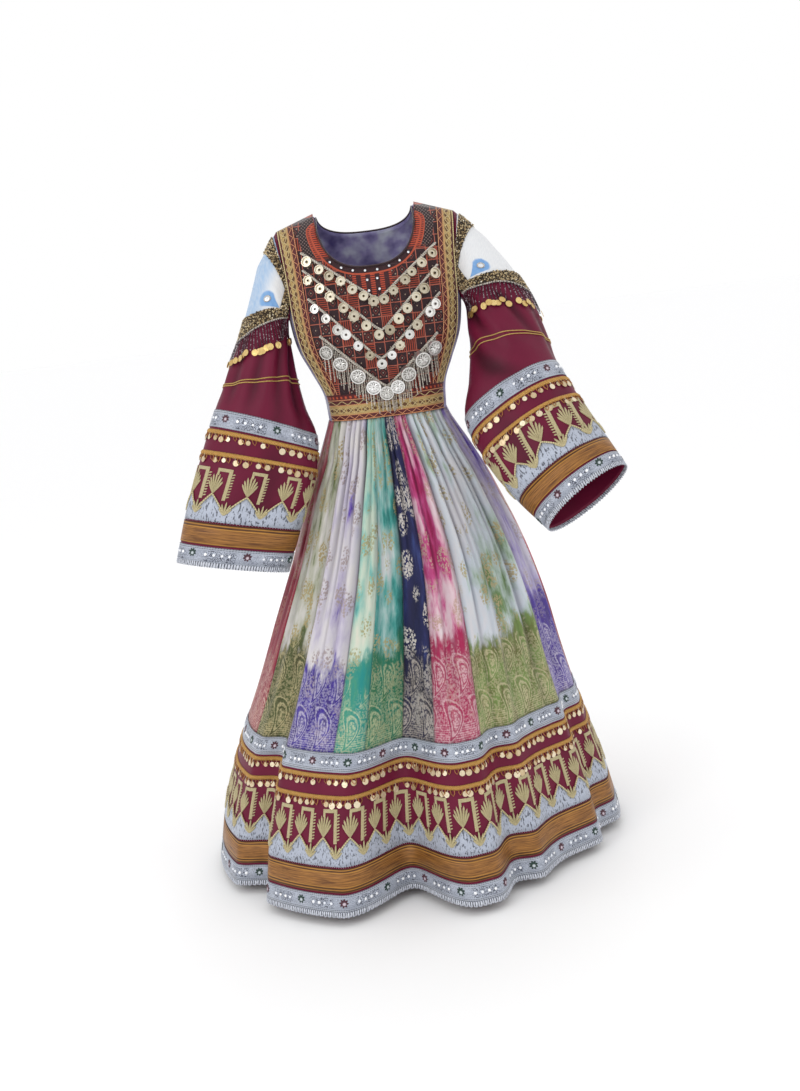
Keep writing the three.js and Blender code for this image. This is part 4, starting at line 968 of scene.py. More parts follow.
def lace(name, tall):
    """Silver-blue woven ribbon with dark edge lines and a small grey floral figure."""
    look = Look(name, roughness=0.5, sheen=0.2)
    x, y = look.place()
    ribs = look.wave(x, 0.0021) * 0.5 + 0.5
    tone = look.noise(look.point(x * 30, y * 60), 1.0, 3.0)
    base = look.mix(tone, "838a9b", "cad0dc")
    edge = look.far(y - tall / 2) * 2 / tall
    figure = look.wire(look.cells(look.point(x, y), 230.0), "Distance")
    scroll = look.step(look.sine(figure * 14.0), 0.1, 0.6) * (1 - look.step(edge, 0.55, 0.68))
    cluster = look.step(look.wave(x, 0.088), -0.35, 0.2)
    worked = look.mix(scroll * (cluster * 0.55 + 0.4), base, "363a4a")
    lines = look.near(edge, 0.78, 0.045, 0.02) + look.near(edge, 0.95, 0.05, 0.02)
    ticks = look.step(look.wave(x, 0.0042), -0.2, 0.3) * 0.6 + 0.4
    lined = look.mix(look.limit(lines * ticks), worked, "252a3a")
    pearl = look.near(edge, 0.865, 0.035, 0.015)
    look.colour(look.mix(pearl * 0.7, lined, "d9dde4"))
    look.feed("Metallic", pearl * 0.3 + 0.1)
    look.bump(look.limit(ribs * 0.4 + pearl * 0.4 + scroll * cluster * 0.4), 0.0005)
    return look.material


def gold_ribbon(tall):
    """A gold-brown ribbon woven in fine lines along it, with darker lines near both edges."""
    look = Look("gold_brown_ribbon", roughness=0.5, metallic=0.25)
    x, y = look.place()
    streak = look.noise(look.point(x * 22, y * 520), 1.0, 3.0, 0.7)
    tone = look.noise(look.point(x * 25, y * 40), 1.0, 2.0)
    base = look.mix(look.limit((streak - 0.5) * 2.6 + tone * 0.4 + 0.25), "532d11", "b47c38")
    edge = look.far(y - tall / 2) * 2 / tall
    gold = look.near(edge, 0.62, 0.045, 0.02) + look.near(edge, 0.86, 0.05, 0.02)
    dark = look.near(edge, 0.74, 0.06, 0.03) + look.near(edge, 0.97, 0.08, 0.04)
    striped = look.mix(look.limit(gold) * 0.6, base, "d2983f")
    look.colour(look.mix(look.limit(dark) * 0.8, striped, "34180d"))
    look.feed("Roughness", 0.56 - streak * 0.2)
    look.bump(look.limit(streak * 0.7 + gold * 0.4), 0.0006)
    return look.material


def brocade_silver():
    """Pale silver-blue brocade with short dark upright dashes."""
    look = Look("silver_brocade", roughness=0.45, sheen=0.2)
    x, y = look.place()
    dash = look.noise(look.point(x * 330, y * 80), 1.0, 2.0, 0.6)
    dark = look.step(dash, 0.53, 0.6)
    ribs = look.wave(x, 0.0016) * 0.5 + 0.5
    look.colour(look.mix(dark * 0.85, look.mix(dash, "8b93a6", "d0d6e2"), "2c3040"))
    look.feed("Metallic", 0.25 - dark * 0.2)
    look.bump(ribs * 0.5 + dash * 0.5, 0.0004)
    return look.material


def thread_edge():
    """A short fringe of silver threads with dark gaps."""
    look = Look("silver_thread_edge", roughness=0.6)
    x, y = look.place()
    uneven = look.noise(look.point(x * 260, y * 60), 1.0, 2.0)
    strand = look.wave(x + uneven * 0.002, 0.0042) * 0.5 + 0.5
    look.colour(look.mix(look.step(strand + (uneven - 0.5) * 0.5, 0.15, 0.5), "353a49", "d6dae3"))
    look.bump(strand, 0.0007)
    return look.material


def braid_look():
    """Orange-gold gimp, slanting metal threads over a soft core."""
    look = Look("gimp_braid", roughness=0.45, metallic=0.4)
    x, y = look.place()
    slant = look.wave(x + y * 0.6, 0.0026) * 0.5 + 0.5
    tone = look.noise(look.point(x * 160, y * 160), 1.0, 2.0)
    look.colour(look.mix(slant * 0.6 + tone * 0.4, "8d5a20", "e6b765"))
    look.bump(slant, 0.0008)
    return look.material


lace_wide = lace("silver_lace", 0.032)
gold_band_look = gold_ribbon(0.043)
silver_zigzag = brocade_silver()
edge_threads = thread_edge()
gimp = braid_look()
BRAIDS = (("braid_top", 0.127, 0.157), ("braid_low", 0.257, 0.287))
BRAID_SECTION = ((0.0, 0.3), (0.12, 1.7), (0.5, 2.9), (0.88, 1.7), (1.0, 0.3), (0.5, 0.2))
BRAID_LUMP = 5.2


def braid(border, trim, top, low):
    """A gimp braid: a half round cord with a row of slanting lumps."""
    columns = 3 * border.columns
    u = np.arange(columns) / columns
    across = np.array([a for a, _ in BRAID_SECTION])[:, None]
    height = np.array([h for _, h in BRAID_SECTION])[:, None]
    lumps = round(border.long / BRAID_LUMP)
    swell = 1 + 0.2 * np.sin(2 * np.pi * lumps * u + across * 2.5) * (height > 1)
    share = top + (low - top) * (0.5 + (across - 0.5) * (1 + 0.06 * np.sin(2 * np.pi * lumps * u)))
    points = border.surface.at(u, border.down(share), height * swell)
    made = sheet_mesh(border.node(trim) + "_gimp", points, strip_map(columns, 7, border.long, 20),
                      closed=True, turned=border.surface.turned, ring=True)
    settle(made, gimp, "gold_braid", border.node(trim))
    return made


def zigzag_top(border):
    """The upper edge of the zigzag: peaks that are a little rounded, and valleys."""
    def edge(u):
        wave = 1 - np.abs((u * border.repeats + 0.5) % 1 * 2 - 1)
        return 0.64 - 0.12 * (0.72 * (1 - wave) + 0.28 * (1 - wave**1.7))
    return edge


def level(share):
    """The upper edge of a ribbon that runs at one height."""
    def edge(u):
        return np.full(np.shape(u), share)
    return edge


TRIM_PIECES = {}
for border in BORDERS:
    trims = [
        ribbon(border, "silver_top", level(-0.004), 0.115, 1.5, lace_wide, "silver_ribbon"),
        ribbon(border, "zigzag", zigzag_top(border), 0.70, 1.5, silver_zigzag, "silver_ribbon", 4),
        ribbon(border, "bronze", level(0.712), 0.865, 1.6, gold_band_look, "bronze_ribbon"),
        ribbon(border, "silver_low", level(0.88), 0.992, 1.5, lace_wide, "silver_ribbon"),
        ribbon(border, "edge", level(0.985), 1.0 + 7.0 / border.tall, 0.7, edge_threads, "silver_ribbon", 2),
    ]
    trims += [braid(border, trim, top, low) for trim, top, low in BRAIDS]
    TRIM_PIECES[border.end] = trims


# What is sewn on by hand: cream-gold embroidery on the satin, rows of small gilt coins under both
# braids, flowers and rhinestones on the lace, and a scalloped edge of silver thread. Each small thing
# is modelled once, lying flat, and its copies are bent onto the cloth.
def pick_flat(both=False):
    """In edit mode, selects the faces that look straight up, or straight up and straight down."""
    mesh = bmesh.from_edit_mesh(bpy.context.object.data)
    for face in mesh.faces:
        face.select_set(face.normal.z > 0.9 or (both and face.normal.z < -0.9))
    bmesh.update_edit_mesh(bpy.context.object.data)


def start_edit(select):
    """Goes into edit mode on faces, with all of them selected or none."""
    bpy.ops.object.mode_set(mode="EDIT")
    bpy.ops.mesh.select_mode(type="FACE")
    bpy.ops.mesh.select_all(action=select)


def take_shape():
    """Ends the modelling of a small thing: its points in millimetres and its faces, which are put in
    order here because Blender's own order of them isn't the same on every run."""
    bpy.ops.object.mode_set(mode="OBJECT")
    piece = bpy.context.object
    points = np.array([vertex.co for vertex in piece.data.vertices])
    faces = []
    for polygon in piece.data.polygons:
        corners = list(polygon.vertices)
        first = corners.index(min(corners))
        faces.append(tuple(corners[first:] + corners[:first]))
    bpy.data.objects.remove(piece)
    return points, sorted(faces)


def posed(shape, turn=0.0, at=(0.0, 0.0, 0.0), size=(1.0, 1.0, 1.0)):
    """A copy of a shape, scaled, then turned flat by some degrees, then moved."""
    points = shape[0] * np.array(size)
    c, s = math.cos(math.radians(turn)), math.sin(math.radians(turn))
    x, y = points[:, 0] * c - points[:, 1] * s, points[:, 0] * s + points[:, 1] * c
    return np.stack([x, y, points[:, 2]], axis=-1) + np.array(at), shape[1]


def together(*shapes):
    """Several shapes as one."""
    start = np.cumsum([0] + [len(points) for points, _ in shapes])
    faces = [tuple(i + first for i in face) for first, (_, part) in zip(start, shapes) for face in part]
    return np.concatenate([points for points, _ in shapes]), faces


def scatter(name, shape, spots, seed, flip=False):
    """A piece from the points of many copies of a shape. Each copy keeps a number of its own, tint, and
    a map of its own flat shape in millimetres."""
    points, faces = shape
    count, step = len(spots), len(points)
    order = [face[::-1] for face in faces] if flip else faces
    all_faces = [tuple(i + n * step for i in face) for n in range(count) for face in order]
    tints = np.repeat(np.random.default_rng(seed).random(count), step)
    return plain_mesh(name, spots.reshape(-1, 3), all_faces, np.tile(points[:, :2], (count, 1)), tints)


def lay(name, surface, shape, places, seed):
    """Copies of a shape, bent onto a sheet. A place is u, v, turn in degrees, size and lift."""
    points = shape[0]
    u, v, turn, size, lift = (column[:, None] for column in np.array(places, float).T)
    wide, tall = surface.scale(u, v)
    c, s = np.cos(np.radians(turn)), np.sin(np.radians(turn))
    x = (points[:, 0] * c - points[:, 1] * s) * size
    y = (points[:, 0] * s + points[:, 1] * c) * size
    spots = surface.at(u + x / wide, v - y / tall, points[:, 2] * size + lift)
    return scatter(name, shape, spots, seed, surface.turned)


def tangents(surface, u, v):
    """How a sheet runs at places: a point of it, its change with u and with v, and its normal."""
    step = 0.001 * (1 if isinstance(surface, Surface) else 500)
    here = surface.at(u, v)
    out = surface.at(u, v, 1.0) - here
    along = (surface.at(u + step, v) - surface.at(u - step, v)) / (2 * step)
    down = (surface.at(u, v + step) - surface.at(u, v - step)) / (2 * step)
    return here, along, down, unit(out)


def fall(surface, u, v, step, count):
    """Follows a sheet straight down from places on it, and gives the places of every step."""
    trail = [(u, v)]
    for _ in range(count):
        _, along, down, out = tangents(surface, u, v)
        drop = np.array([0.0, 0.0, -1.0]) + out * out[..., 2:3]
        drop = unit(drop) * step
        aa, ab, bb = (along * along).sum(-1), (along * down).sum(-1), (down * down).sum(-1)
        pa, pb = (along * drop).sum(-1), (down * drop).sum(-1)
        area = aa * bb - ab * ab
        u = u + (pa * bb - pb * ab) / area
        v = v + (pb * aa - pa * ab) / area
        trail.append((u, v))
    return trail


def stud(name, surface, shape, places, seed):
    """Copies of a stiff shape on a sheet, each upright by gravity, then turned. Places are as in lay."""
    points = shape[0]
    u, v, turn, size, lift = np.array(places, float).T
    here, _, _, out = tangents(surface, u, v)
    up = np.array([0.0, 0.0, 1.0]) - out * out[:, 2:3]
    up = unit(up)
    side = np.cross(up, out)
    c, s = np.cos(np.radians(turn))[:, None], np.sin(np.radians(turn))[:, None]
    x = (points[:, 0] * c - points[:, 1] * s) * size[:, None]
    y = (points[:, 0] * s + points[:, 1] * c) * size[:, None]
    z = points[:, 2] * size[:, None] + lift[:, None]
    spots = here[:, None]
    for reach, way in ((x, side), (y, up), (z, out)):
        spots = spots + reach[..., None] * way[:, None]
    return scatter(name, shape, spots, seed)


def plain_mesh(name, points, faces, flat, tint, angle=35):
    """A piece from points in millimetres, with its map and its tint."""
    mesh = bpy.data.meshes.new(name)
    mesh.from_pydata((points * MM).tolist(), [], faces)
    loops = np.zeros(len(mesh.loops), np.int32)
    mesh.loops.foreach_get("vertex_index", loops)
    mesh.uv_layers.new(name="UVMap")
    mesh.uv_layers["UVMap"].data.foreach_set("uv", flat[loops].reshape(-1).astype(np.float32))
    mesh.attributes.new("tint", "FLOAT", "POINT")
    mesh.attributes["tint"].data.foreach_set("value", tint.astype(np.float32))
    made = bpy.data.objects.new(name, mesh)
    bpy.context.scene.collection.objects.link(made)
    bpy.ops.object.select_all(action="DESELECT")
    made.select_set(True)
    bpy.context.view_layer.objects.active = made
    bpy.ops.object.shade_smooth_by_angle(angle=math.radians(angle))
    made.select_set(False)
    return made


def pillow(long, wide, high, segments=8, rings=4):
    """A padded leaf of thread, pointed at its far end, lying from the origin along y."""
    bpy.ops.mesh.primitive_uv_sphere_add(segments=segments, ring_count=rings, radius=1)
    start_edit("SELECT")
    bpy.ops.transform.rotate(value=math.pi / 2, orient_axis="X", center_override=(0, 0, 0))
    bpy.ops.transform.resize(value=(wide / 2, long / 2, high), center_override=(0, 0, 0))
    bpy.ops.transform.translate(value=(0, long / 2, high * 0.4))
    return take_shape()


leaf = pillow(1, 0.09, 1.3)
tooth = pillow(1, 0.09, 1.3, 6, 3)
widening = 0.22 + 1.15 * leaf[0][:, 1]
blade = leaf[0] * np.stack([widening, np.ones(len(widening)), np.ones(len(widening))], axis=-1), leaf[1]


def fan():
    """A fan of leaves on a narrow foot, the flower that stands on each peak."""
    leaves = []
    for turn, long in ((-30, 35), (-20, 43), (-10, 49), (0, 52), (10, 49), (20, 43), (30, 35)):
        leaves.append(posed(blade, turn, (0, -1, 0), (66, long + 4, 1.7)))
    return together(*leaves, posed(leaf, 0, (0, -3, 0), (40, 16, 1.8)))


def plant():
    """Five short leaves that stand in each valley."""
    leaves = [posed(leaf, turn, (0, 0, 0), (60, long, 1.7))
              for turn, long in ((-42, 24), (-21, 31), (0, 35), (21, 31), (42, 24))]
    return together(*leaves)


def bar(long, wide, high):
    """A straight bar of couched thread along y, with a rounded back."""
    bpy.ops.mesh.primitive_cube_add(size=1)
    start_edit("SELECT")
    bpy.ops.transform.resize(value=(wide, long, high), center_override=(0, 0, 0))
    bpy.ops.transform.translate(value=(0, long / 2, high / 2))
    bpy.ops.mesh.subdivide(number_cuts=1)
    pick_flat()
    bpy.ops.mesh.inset(thickness=wide * 0.24)
    bpy.ops.transform.translate(value=(0, 0, high * 0.45))
    return take_shape()


def hook():
    """The hooked bar beside each fan: a crossbar, a short stub on its left, and a toothed upright."""
    upright = posed(bar(76, 8.2, 1.4), 0, (31, -14, 0))
    cross = posed(bar(38, 8.6, 1.4), -90, (-3, 62, 0))
    stub = posed(bar(15, 6, 1.3), 0, (0, 48, 0))
    teeth = [posed(tooth, -70, (34, -6 + 7.2 * n, 0), (48, 9, 1.0)) for n in range(9)]
    return together(upright, cross, stub, *teeth)


def thread_look(name, dark, light, metal, pitch=1.4):
    """Thread laid side by side, seen on the small shape's own map."""
    look = Look(name, roughness=0.5, metallic=metal, sheen=0.15)
    x, y = look.place()
    strand = look.wave(y + x * 0.5, pitch) * 0.5 + 0.5
    tint = look.mark("tint")
    tone = look.noise(look.point(x, y, tint * 40.0), 0.35, 2.0)
    look.colour(look.mix(strand * 0.5 + tone * 0.5, dark, light))
    look.bump(strand, 0.0003)
    return look.material


cream_gold = thread_look("cream_gold_thread", "877952", "dfd2a4", 0.05)
gold_cord_look = thread_look("gold_cord", "8a6a2c", "dcb96a", 0.4)
loop_look = thread_look("orange_loops", "6b3514", "c98a45", 0.2)
fan_shape, plant_shape, hook_shape = fan(), plant(), hook()
PEAK = 0.52
VALLEY = 0.64


def tube_shape(path, up, radius, sides, closed=False):
    """A round cord along a path, with a direction that isn't along it for each point."""
    path, up = np.asarray(path, float), np.asarray(up, float)
    if closed:
        along = np.roll(path, -1, axis=0) - np.roll(path, 1, axis=0)
    else:
        along = np.gradient(path, axis=0)
    along = unit(along)
    side = np.cross(along, up)
    side = unit(side)
    rise = np.cross(side, along)
    turn = np.arange(sides) / sides * 2 * np.pi
    ring = side[:, None] * np.cos(turn)[:, None] + rise[:, None] * np.sin(turn)[:, None]
    points = (path[:, None] + ring * radius).reshape(-1, 3)
    count = len(path)
    spans = count if closed else count - 1
    faces = []
    for k in range(spans):
        for i in range(sides):
            j, n = (i + 1) % sides, (k + 1) % count
            faces.append((k * sides + i, k * sides + j, n * sides + j, n * sides + i))
    if not closed:
        faces += [tuple(range(sides))[::-1], tuple((count - 1) * sides + i for i in range(sides))]
    return points, faces


def cord_map(run, sides):
    """The map of a cord: the way along it for every point of each ring."""
    return np.repeat(np.stack([run, 0 * run], axis=-1), sides, axis=0)


def start_disc(vertices, radius, thick):
    """Starts the modelling of a round thing: a flat disc with its upper face selected."""
    bpy.ops.mesh.primitive_cylinder_add(vertices=vertices, radius=radius, depth=thick,
                                        location=(0, 0, thick / 2))
    bpy.ops.object.transform_apply(location=True)
    start_edit("DESELECT")
    pick_flat()


def small_coin(vertices, radius, thick):
    """A thin stamped coin: a raised rim and a low boss."""
    start_disc(vertices, radius, thick)
    bpy.ops.mesh.inset(thickness=radius * 0.16)
    bpy.ops.transform.translate(value=(0, 0, -thick * 0.3))
    bpy.ops.mesh.inset(thickness=radius * 0.3)
    bpy.ops.transform.translate(value=(0, 0, thick * 0.35))
    return take_shape()


def hung_coin(radius, drop):
    """A small coin on its link, hanging down from the origin."""
    link = tube_shape([(0, 0.5, 0.4), (0.3, -drop / 2, 0.9), (0, -drop, 0.6)], [(1, 0, 0)] * 3, 0.5, 4)
    return together(posed(small_coin(10, radius, 0.7), 0, (0, -drop - radius + 0.4, 0)), link)


wire_loop = tube_shape([(-3.4, 1, 0.5), (-3.2, -6, 1.8), (0, -10.5, 1.4), (3.2, -6, 1.8), (3.4, 1, 0.5)],
                       [(0, 0, 1)] * 5, 1.0, 3)


def metal_look(name, dark, light, roughness):
    """Thin stamped metal, a little tarnished, each coin in its own shade."""
    look = Look(name, roughness=roughness, metallic=0.85)
    x, y = look.place()
    tint = look.mark("tint")
    stain = look.noise(look.point(x, y, tint * 50.0), 0.28, 3.0)
    look.colour(look.mix(look.limit(stain * 0.55 + tint * 0.45), dark, light))
    look.feed("Roughness", stain * 0.3 + roughness - 0.1)
    distance = look.math("SQRT", x * x + y * y)
    rays = look.sine(look.math("ARCTAN2", y, x) * 14.0)
    look.bump(look.limit(rays * 0.25 + look.sine(distance * 2.4) * 0.25 + 0.5), 0.0002)
    return look.material


gilt = metal_look("gilt_coin", "a58449", "fdf3da", 0.32)
silver_metal = metal_look("silver_coin", "b9b5ad", "ffffff", 0.26)
coin_on_link = hung_coin(6.0, 5.0)


def flower_shape(petals, radius):
    """A flat flower of padded leaves."""
    petal = [posed(leaf, 360 / petals * n, (0, 1.6, 0), (50, radius, 0.7)) for n in range(petals)]
    return together(*petal)


def stone_shape():
    """A small faceted stone in a round setting."""
    start_disc(8, 2.3, 1.2)
    bpy.ops.mesh.inset(thickness=0.9)
    bpy.ops.transform.translate(value=(0, 0, 0.7))
    return take_shape()


def petal_look(name, dark, light):
    """Thread in a pale colour in the middle of a flower and a dark one towards its edge."""
    look = Look(name, roughness=0.55, sheen=0.1)
    x, y = look.place()
    middle = look.step(look.math("SQRT", x * x + y * y), 1.6, 4.2)
    look.colour(look.mix(middle, light, dark))
    look.bump(look.sine(x * 4.0) * 0.5 + 0.5, 0.0002)
    return look.material


stone = stone_shape()
flower = flower_shape(8, 9.2)
green_petal = petal_look("green_petal", "17342c", "c3cbd0")
red_petal = petal_look("red_petal", "461a2a", "cbbcc6")
stone_look = Look("rhinestone", roughness=0.12, metallic=0.1, specular=0.8)
sx, sy = stone_look.place()
stone_look.colour(stone_look.mix(stone_look.mark("tint"), "e8ecf4", "ffffff"))
stone_look.bump(stone_look.noise(stone_look.point(sx, sy), 1.2), 0.0002)
scallop_path = [(math.cos(t) * 5.2, -math.sin(t) * 7.0, 0.6) for t in np.linspace(0, math.pi, 8)]
scallop = tube_shape(scallop_path, [(0, 0, 1)] * 8, 1.5, 4)
bead = pillow(2.6, 2.6, 1.3, 5, 3)
scallop_edge = together(scallop, posed(bead, 0, (0, -9.4, 0)), posed(bead, 0, (-5.2, -1.6, 0)))
edge_look = thread_look("silver_edge_thread", "858a9b", "e4e7ee", 0.05)

MOTIF_PITCH = 67
MOTIF_LEAN = 1.6
chance = random.Random(21)
for border in BORDERS:
    size = border.tall / HEM_TALL
    surface, end = border.surface, border.end
    cloth = hem_cloth if end == "hem" else sleeve_cloths[end]
    spots = [(n + 0.5) / border.repeats for n in range(border.repeats)]
    valleys = [(n + 1.0) / border.repeats for n in range(border.repeats)]
    width = border.long / border.repeats / MOTIF_PITCH
    motif = min(size, width) * (1.0 if end == "hem" else 1.06)
    for kind, shape, middles, share, lift in (
        ("fans", fan_shape, spots, PEAK, 0.2), ("hooks", hook_shape, spots, PEAK, 0.2),
        ("plants", plant_shape, valleys, VALLEY + 0.012, 1.6),
    ):
        places = [(u, border.down(share), chance.uniform(-MOTIF_LEAN, MOTIF_LEAN), motif, lift)
                  for u in middles]
        made = lay(f"{end}_{kind}", surface, shape, places, 5)
        settle(made, cream_gold, "gold_stitch")
        TRIM_PIECES[end].append(made)

    # A gold cord along the zigzag's upper edge and a dotted one along its foot
    u = np.arange(2 * border.columns) / (2 * border.columns)
    top_line = surface.at(u, border.down(zigzag_top(border)(u)), 2.2)
    above = surface.at(u, border.down(zigzag_top(border)(u)), 4.2) - top_line
    points, faces = tube_shape(top_line, above, 1.7, 5, closed=True)
    cord = plain_mesh(f"{end}_zigzag_cord", points, faces, cord_map(u * border.long, 5),
                      np.zeros(len(points)), 60)
    settle(cord, cream_gold, "gold_stitch")
    foot_count = round(border.long / 4.4)
    foot = [(n / foot_count, border.down(0.706), 0, 0.55, 0.6) for n in range(foot_count)]
    dots = lay(f"{end}_foot_dots", surface, bead, foot, 3)
    settle(dots, edge_look, "silver_ribbon")

    # Two rows of small coins on links
    coins, loops = [], []
    for _, _, low in BRAIDS:
        count = round(border.long / 16)
        for n in range(count):
            loops.append(((n + 0.5 + chance.uniform(-0.15, 0.15)) / count, border.down(low - 0.004),
                          chance.uniform(-14, 14), chance.uniform(0.85, 1.15), 0.9))
            if chance.random() < 0.14:
                continue
            u_at = (n + chance.uniform(-0.22, 0.22)) / count
            coins.append((u_at, border.down(low - 0.006), chance.uniform(-16, 16),
                          chance.uniform(0.78, 1.15), 1.4 + 0.5 * (n % 2)))
    made = stud(f"{end}_coins", surface, coin_on_link, coins, 11)
    settle(made, gilt, "gold_coins")
    wires = stud(f"{end}_wire_loops", surface, wire_loop, loops, 12)
    settle(wires, loop_look, "gold_stitch")
    TRIM_PIECES[end] += [cord, dots, made, wires]

    # Flowers and stones on the two lace ribbons
    for row, middle in (("top", 0.056), ("low", 0.936)):
        flower_count = round(border.long / 88)
        places = {"green": [], "red": [], "stones": []}
        for n in range(flower_count):
            u_at = (n + 0.75) / flower_count
            kind = "green" if (n + (row == "low")) % 2 else "red"
            places[kind].append((u_at, border.down(middle), chance.uniform(0, 40), 1.0, 1.4))
            for k in (-1.5, -0.5, 0.5, 1.5):
                u_stone = u_at + (0.5 + k * 0.14 + chance.uniform(-0.012, 0.012)) / flower_count
                places["stones"].append((u_stone, border.down(middle), 0, chance.uniform(1.05, 1.4), 1.4))
        for kind, shape, look in (("green", flower, green_petal), ("red", flower, red_petal),
                                  ("stones", stone, stone_look.material)):
            made = lay(f"{end}_{row}_{kind}", surface, shape, places[kind], 17)
            settle(made, look, "silver_ribbon")
            TRIM_PIECES[end].append(made)

    # The scalloped edge
    count = round(border.long / (9.0 if end == "hem" else 6.0))
    edging = posed(scallop_edge, size=(0.78 if end == "hem" else 0.52, 1.0, 0.9))
    places = [(n / count, border.down(1.0), chance.uniform(-6, 6), 1.0, -0.4) for n in range(count)]
    made = lay(f"{end}_scallops", surface, edging, places, 23)
    settle(made, edge_look, "silver_ribbon")
    TRIM_PIECES[end].append(made)


# The stripe round each sleeve: two flat gold threads that are couched side by side on the satin.
def cord_on(name, surface, u, v, lift, radius, sides, closed, material):
    """A cord along a line on a sheet, sewn down flat."""
    u, v = np.asarray(u, float), np.asarray(v, float)
    line = surface.at(u, v, lift)
    up = surface.at(u, v, lift + 2.0) - line
    points, faces = tube_shape(line, up, radius, sides, closed)
    flat = cord_map(along_line(line), sides)
    made = plain_mesh(name, points, faces, flat, np.zeros(len(points)), 60)
    settle(made, material, "gold_stitch")
    return made


STRIPE_RING = 4.22
for name, surface in sleeves.items():
    u = np.arange(240) / 240
    for side, gap in (("upper", -2.6), ("lower", 2.6)):
        wander = STRIPE_RING + gap / RING_GAP + 0.01 * np.sin(u * 2 * np.pi * 5)
        stripe = cord_on(f"sleeve_stripe_{side}_{name}", surface, u, wander / RINGS, 0.9, 1.15, 5, True,
                         gold_cord_look)
        TRIM_PIECES[name].append(stripe)


def runs(points, axis):
    """How far each point of a grid is along its row or its column, in metres."""
    steps = np.linalg.norm(np.diff(points, axis=axis), axis=-1)
    return np.concatenate([np.zeros_like(np.take(steps, [0], axis)), np.cumsum(steps, axis)], axis) * MM


def cloth_map(points):
    """The map of a sheet by its own lengths, so that the weave keeps its size."""
    return np.stack([runs(points, 1), runs(points, 0)], axis=-1)


def grid_area(points):
    """The area of a sheet in square metres."""
    across = points[:-1, 1:] - points[:-1, :-1]
    down = points[1:, :-1] - points[:-1, :-1]
    return float(np.linalg.norm(np.cross(across, down), axis=-1).sum()) * MM * MM


for name, cloth in sleeve_cloths.items():
    tube = np.concatenate([sleeves[name].points, sleeves[name].points[:, :1]], axis=1)
    flat_size = (runs(tube, 1)[:, -1].max(), runs(tube, 0)[-1].max())
    grid_area(tube)


# The bands of the front panel: dark red ribbon with a zigzag of orange thread and a broad strip of
# pale gold embroidery, sewn down both armholes and along the waist.
LENS = 0.0165


def band_look(name, crossed):
    """The band's colours. Across it is measured from its dark red edge, along it from one end."""
    look = Look(name, roughness=0.62, sheen=0.15)
    x, y = look.place()
    across, along = (y, x) if crossed else (x, y)
    grain = look.noise(look.point(x * 500, y * 500), 1.0, 3.0, 0.6)
    rows = look.wave(along + look.far(across - 0.019) * 1.4, 0.0034) * 0.5 + 0.5
    wide = look.noise(look.point(x * 60, y * 60), 1.0, 2.0)
    gold = look.mix(rows * 0.5 + wide * 0.5, "8f6f35", "dcc186")
    wave = look.far(look.sine(along * (math.pi / LENS))) * 0.0052
    openwork = look.step(look.far(across - 0.0205) - wave, 0.0, -0.0012)
    leaf_shape = look.mix(openwork * 0.85, gold, "4a1c14")
    red = look.mix(grain, "35090f", "661419")
    inside = look.step(across, 0.0105, 0.0118)
    banded = look.mix(inside, red, leaf_shape)
    top = look.step(across, 0.0305, 0.0315)
    second = look.mix(top, banded, red)
    blocks = look.step(look.wave(along, 0.0105), 0.1, 0.3)
    above = look.step(across, 0.0425, 0.0435)
    squares = look.mix(look.limit(blocks * look.near(across, 0.0475, 0.0028, 0.0022)), red, "bb4c2b")
    look.colour(look.mix(above, second, squares))
    look.feed("Metallic", inside * (1 - top) * 0.25)
    look.bump(look.limit(rows * inside * 0.7 + grain * 0.3 - openwork * 0.3), 0.0006)
    return look.material


class Chest:
    """The front of the bodice by millimetres to the right of its middle and millimetres down."""

    turned = False

    def at(self, x, down, lift=0.0):
        x, z, lift = np.broadcast_arrays(x, -np.asarray(down, float), lift)
        angle = panel_angle(np.clip(x / read(BODICE, 1, z), -0.995, 0.995))
        across = bodice_point(angle + 0.02, z) - bodice_point(angle - 0.02, z)
        normal = np.cross(bodice_point(angle, z - 1) - bodice_point(angle, z + 1), across)
        normal = unit(normal)
        return bodice_point(angle, z) + normal * lift[..., None]

    def scale(self, x, down):
        wide = np.linalg.norm(self.at(x + 1, down) - self.at(x - 1, down), axis=-1)
        tall = np.linalg.norm(self.at(x, down + 1) - self.at(x, down - 1), axis=-1)
        return wide / 2, tall / 2


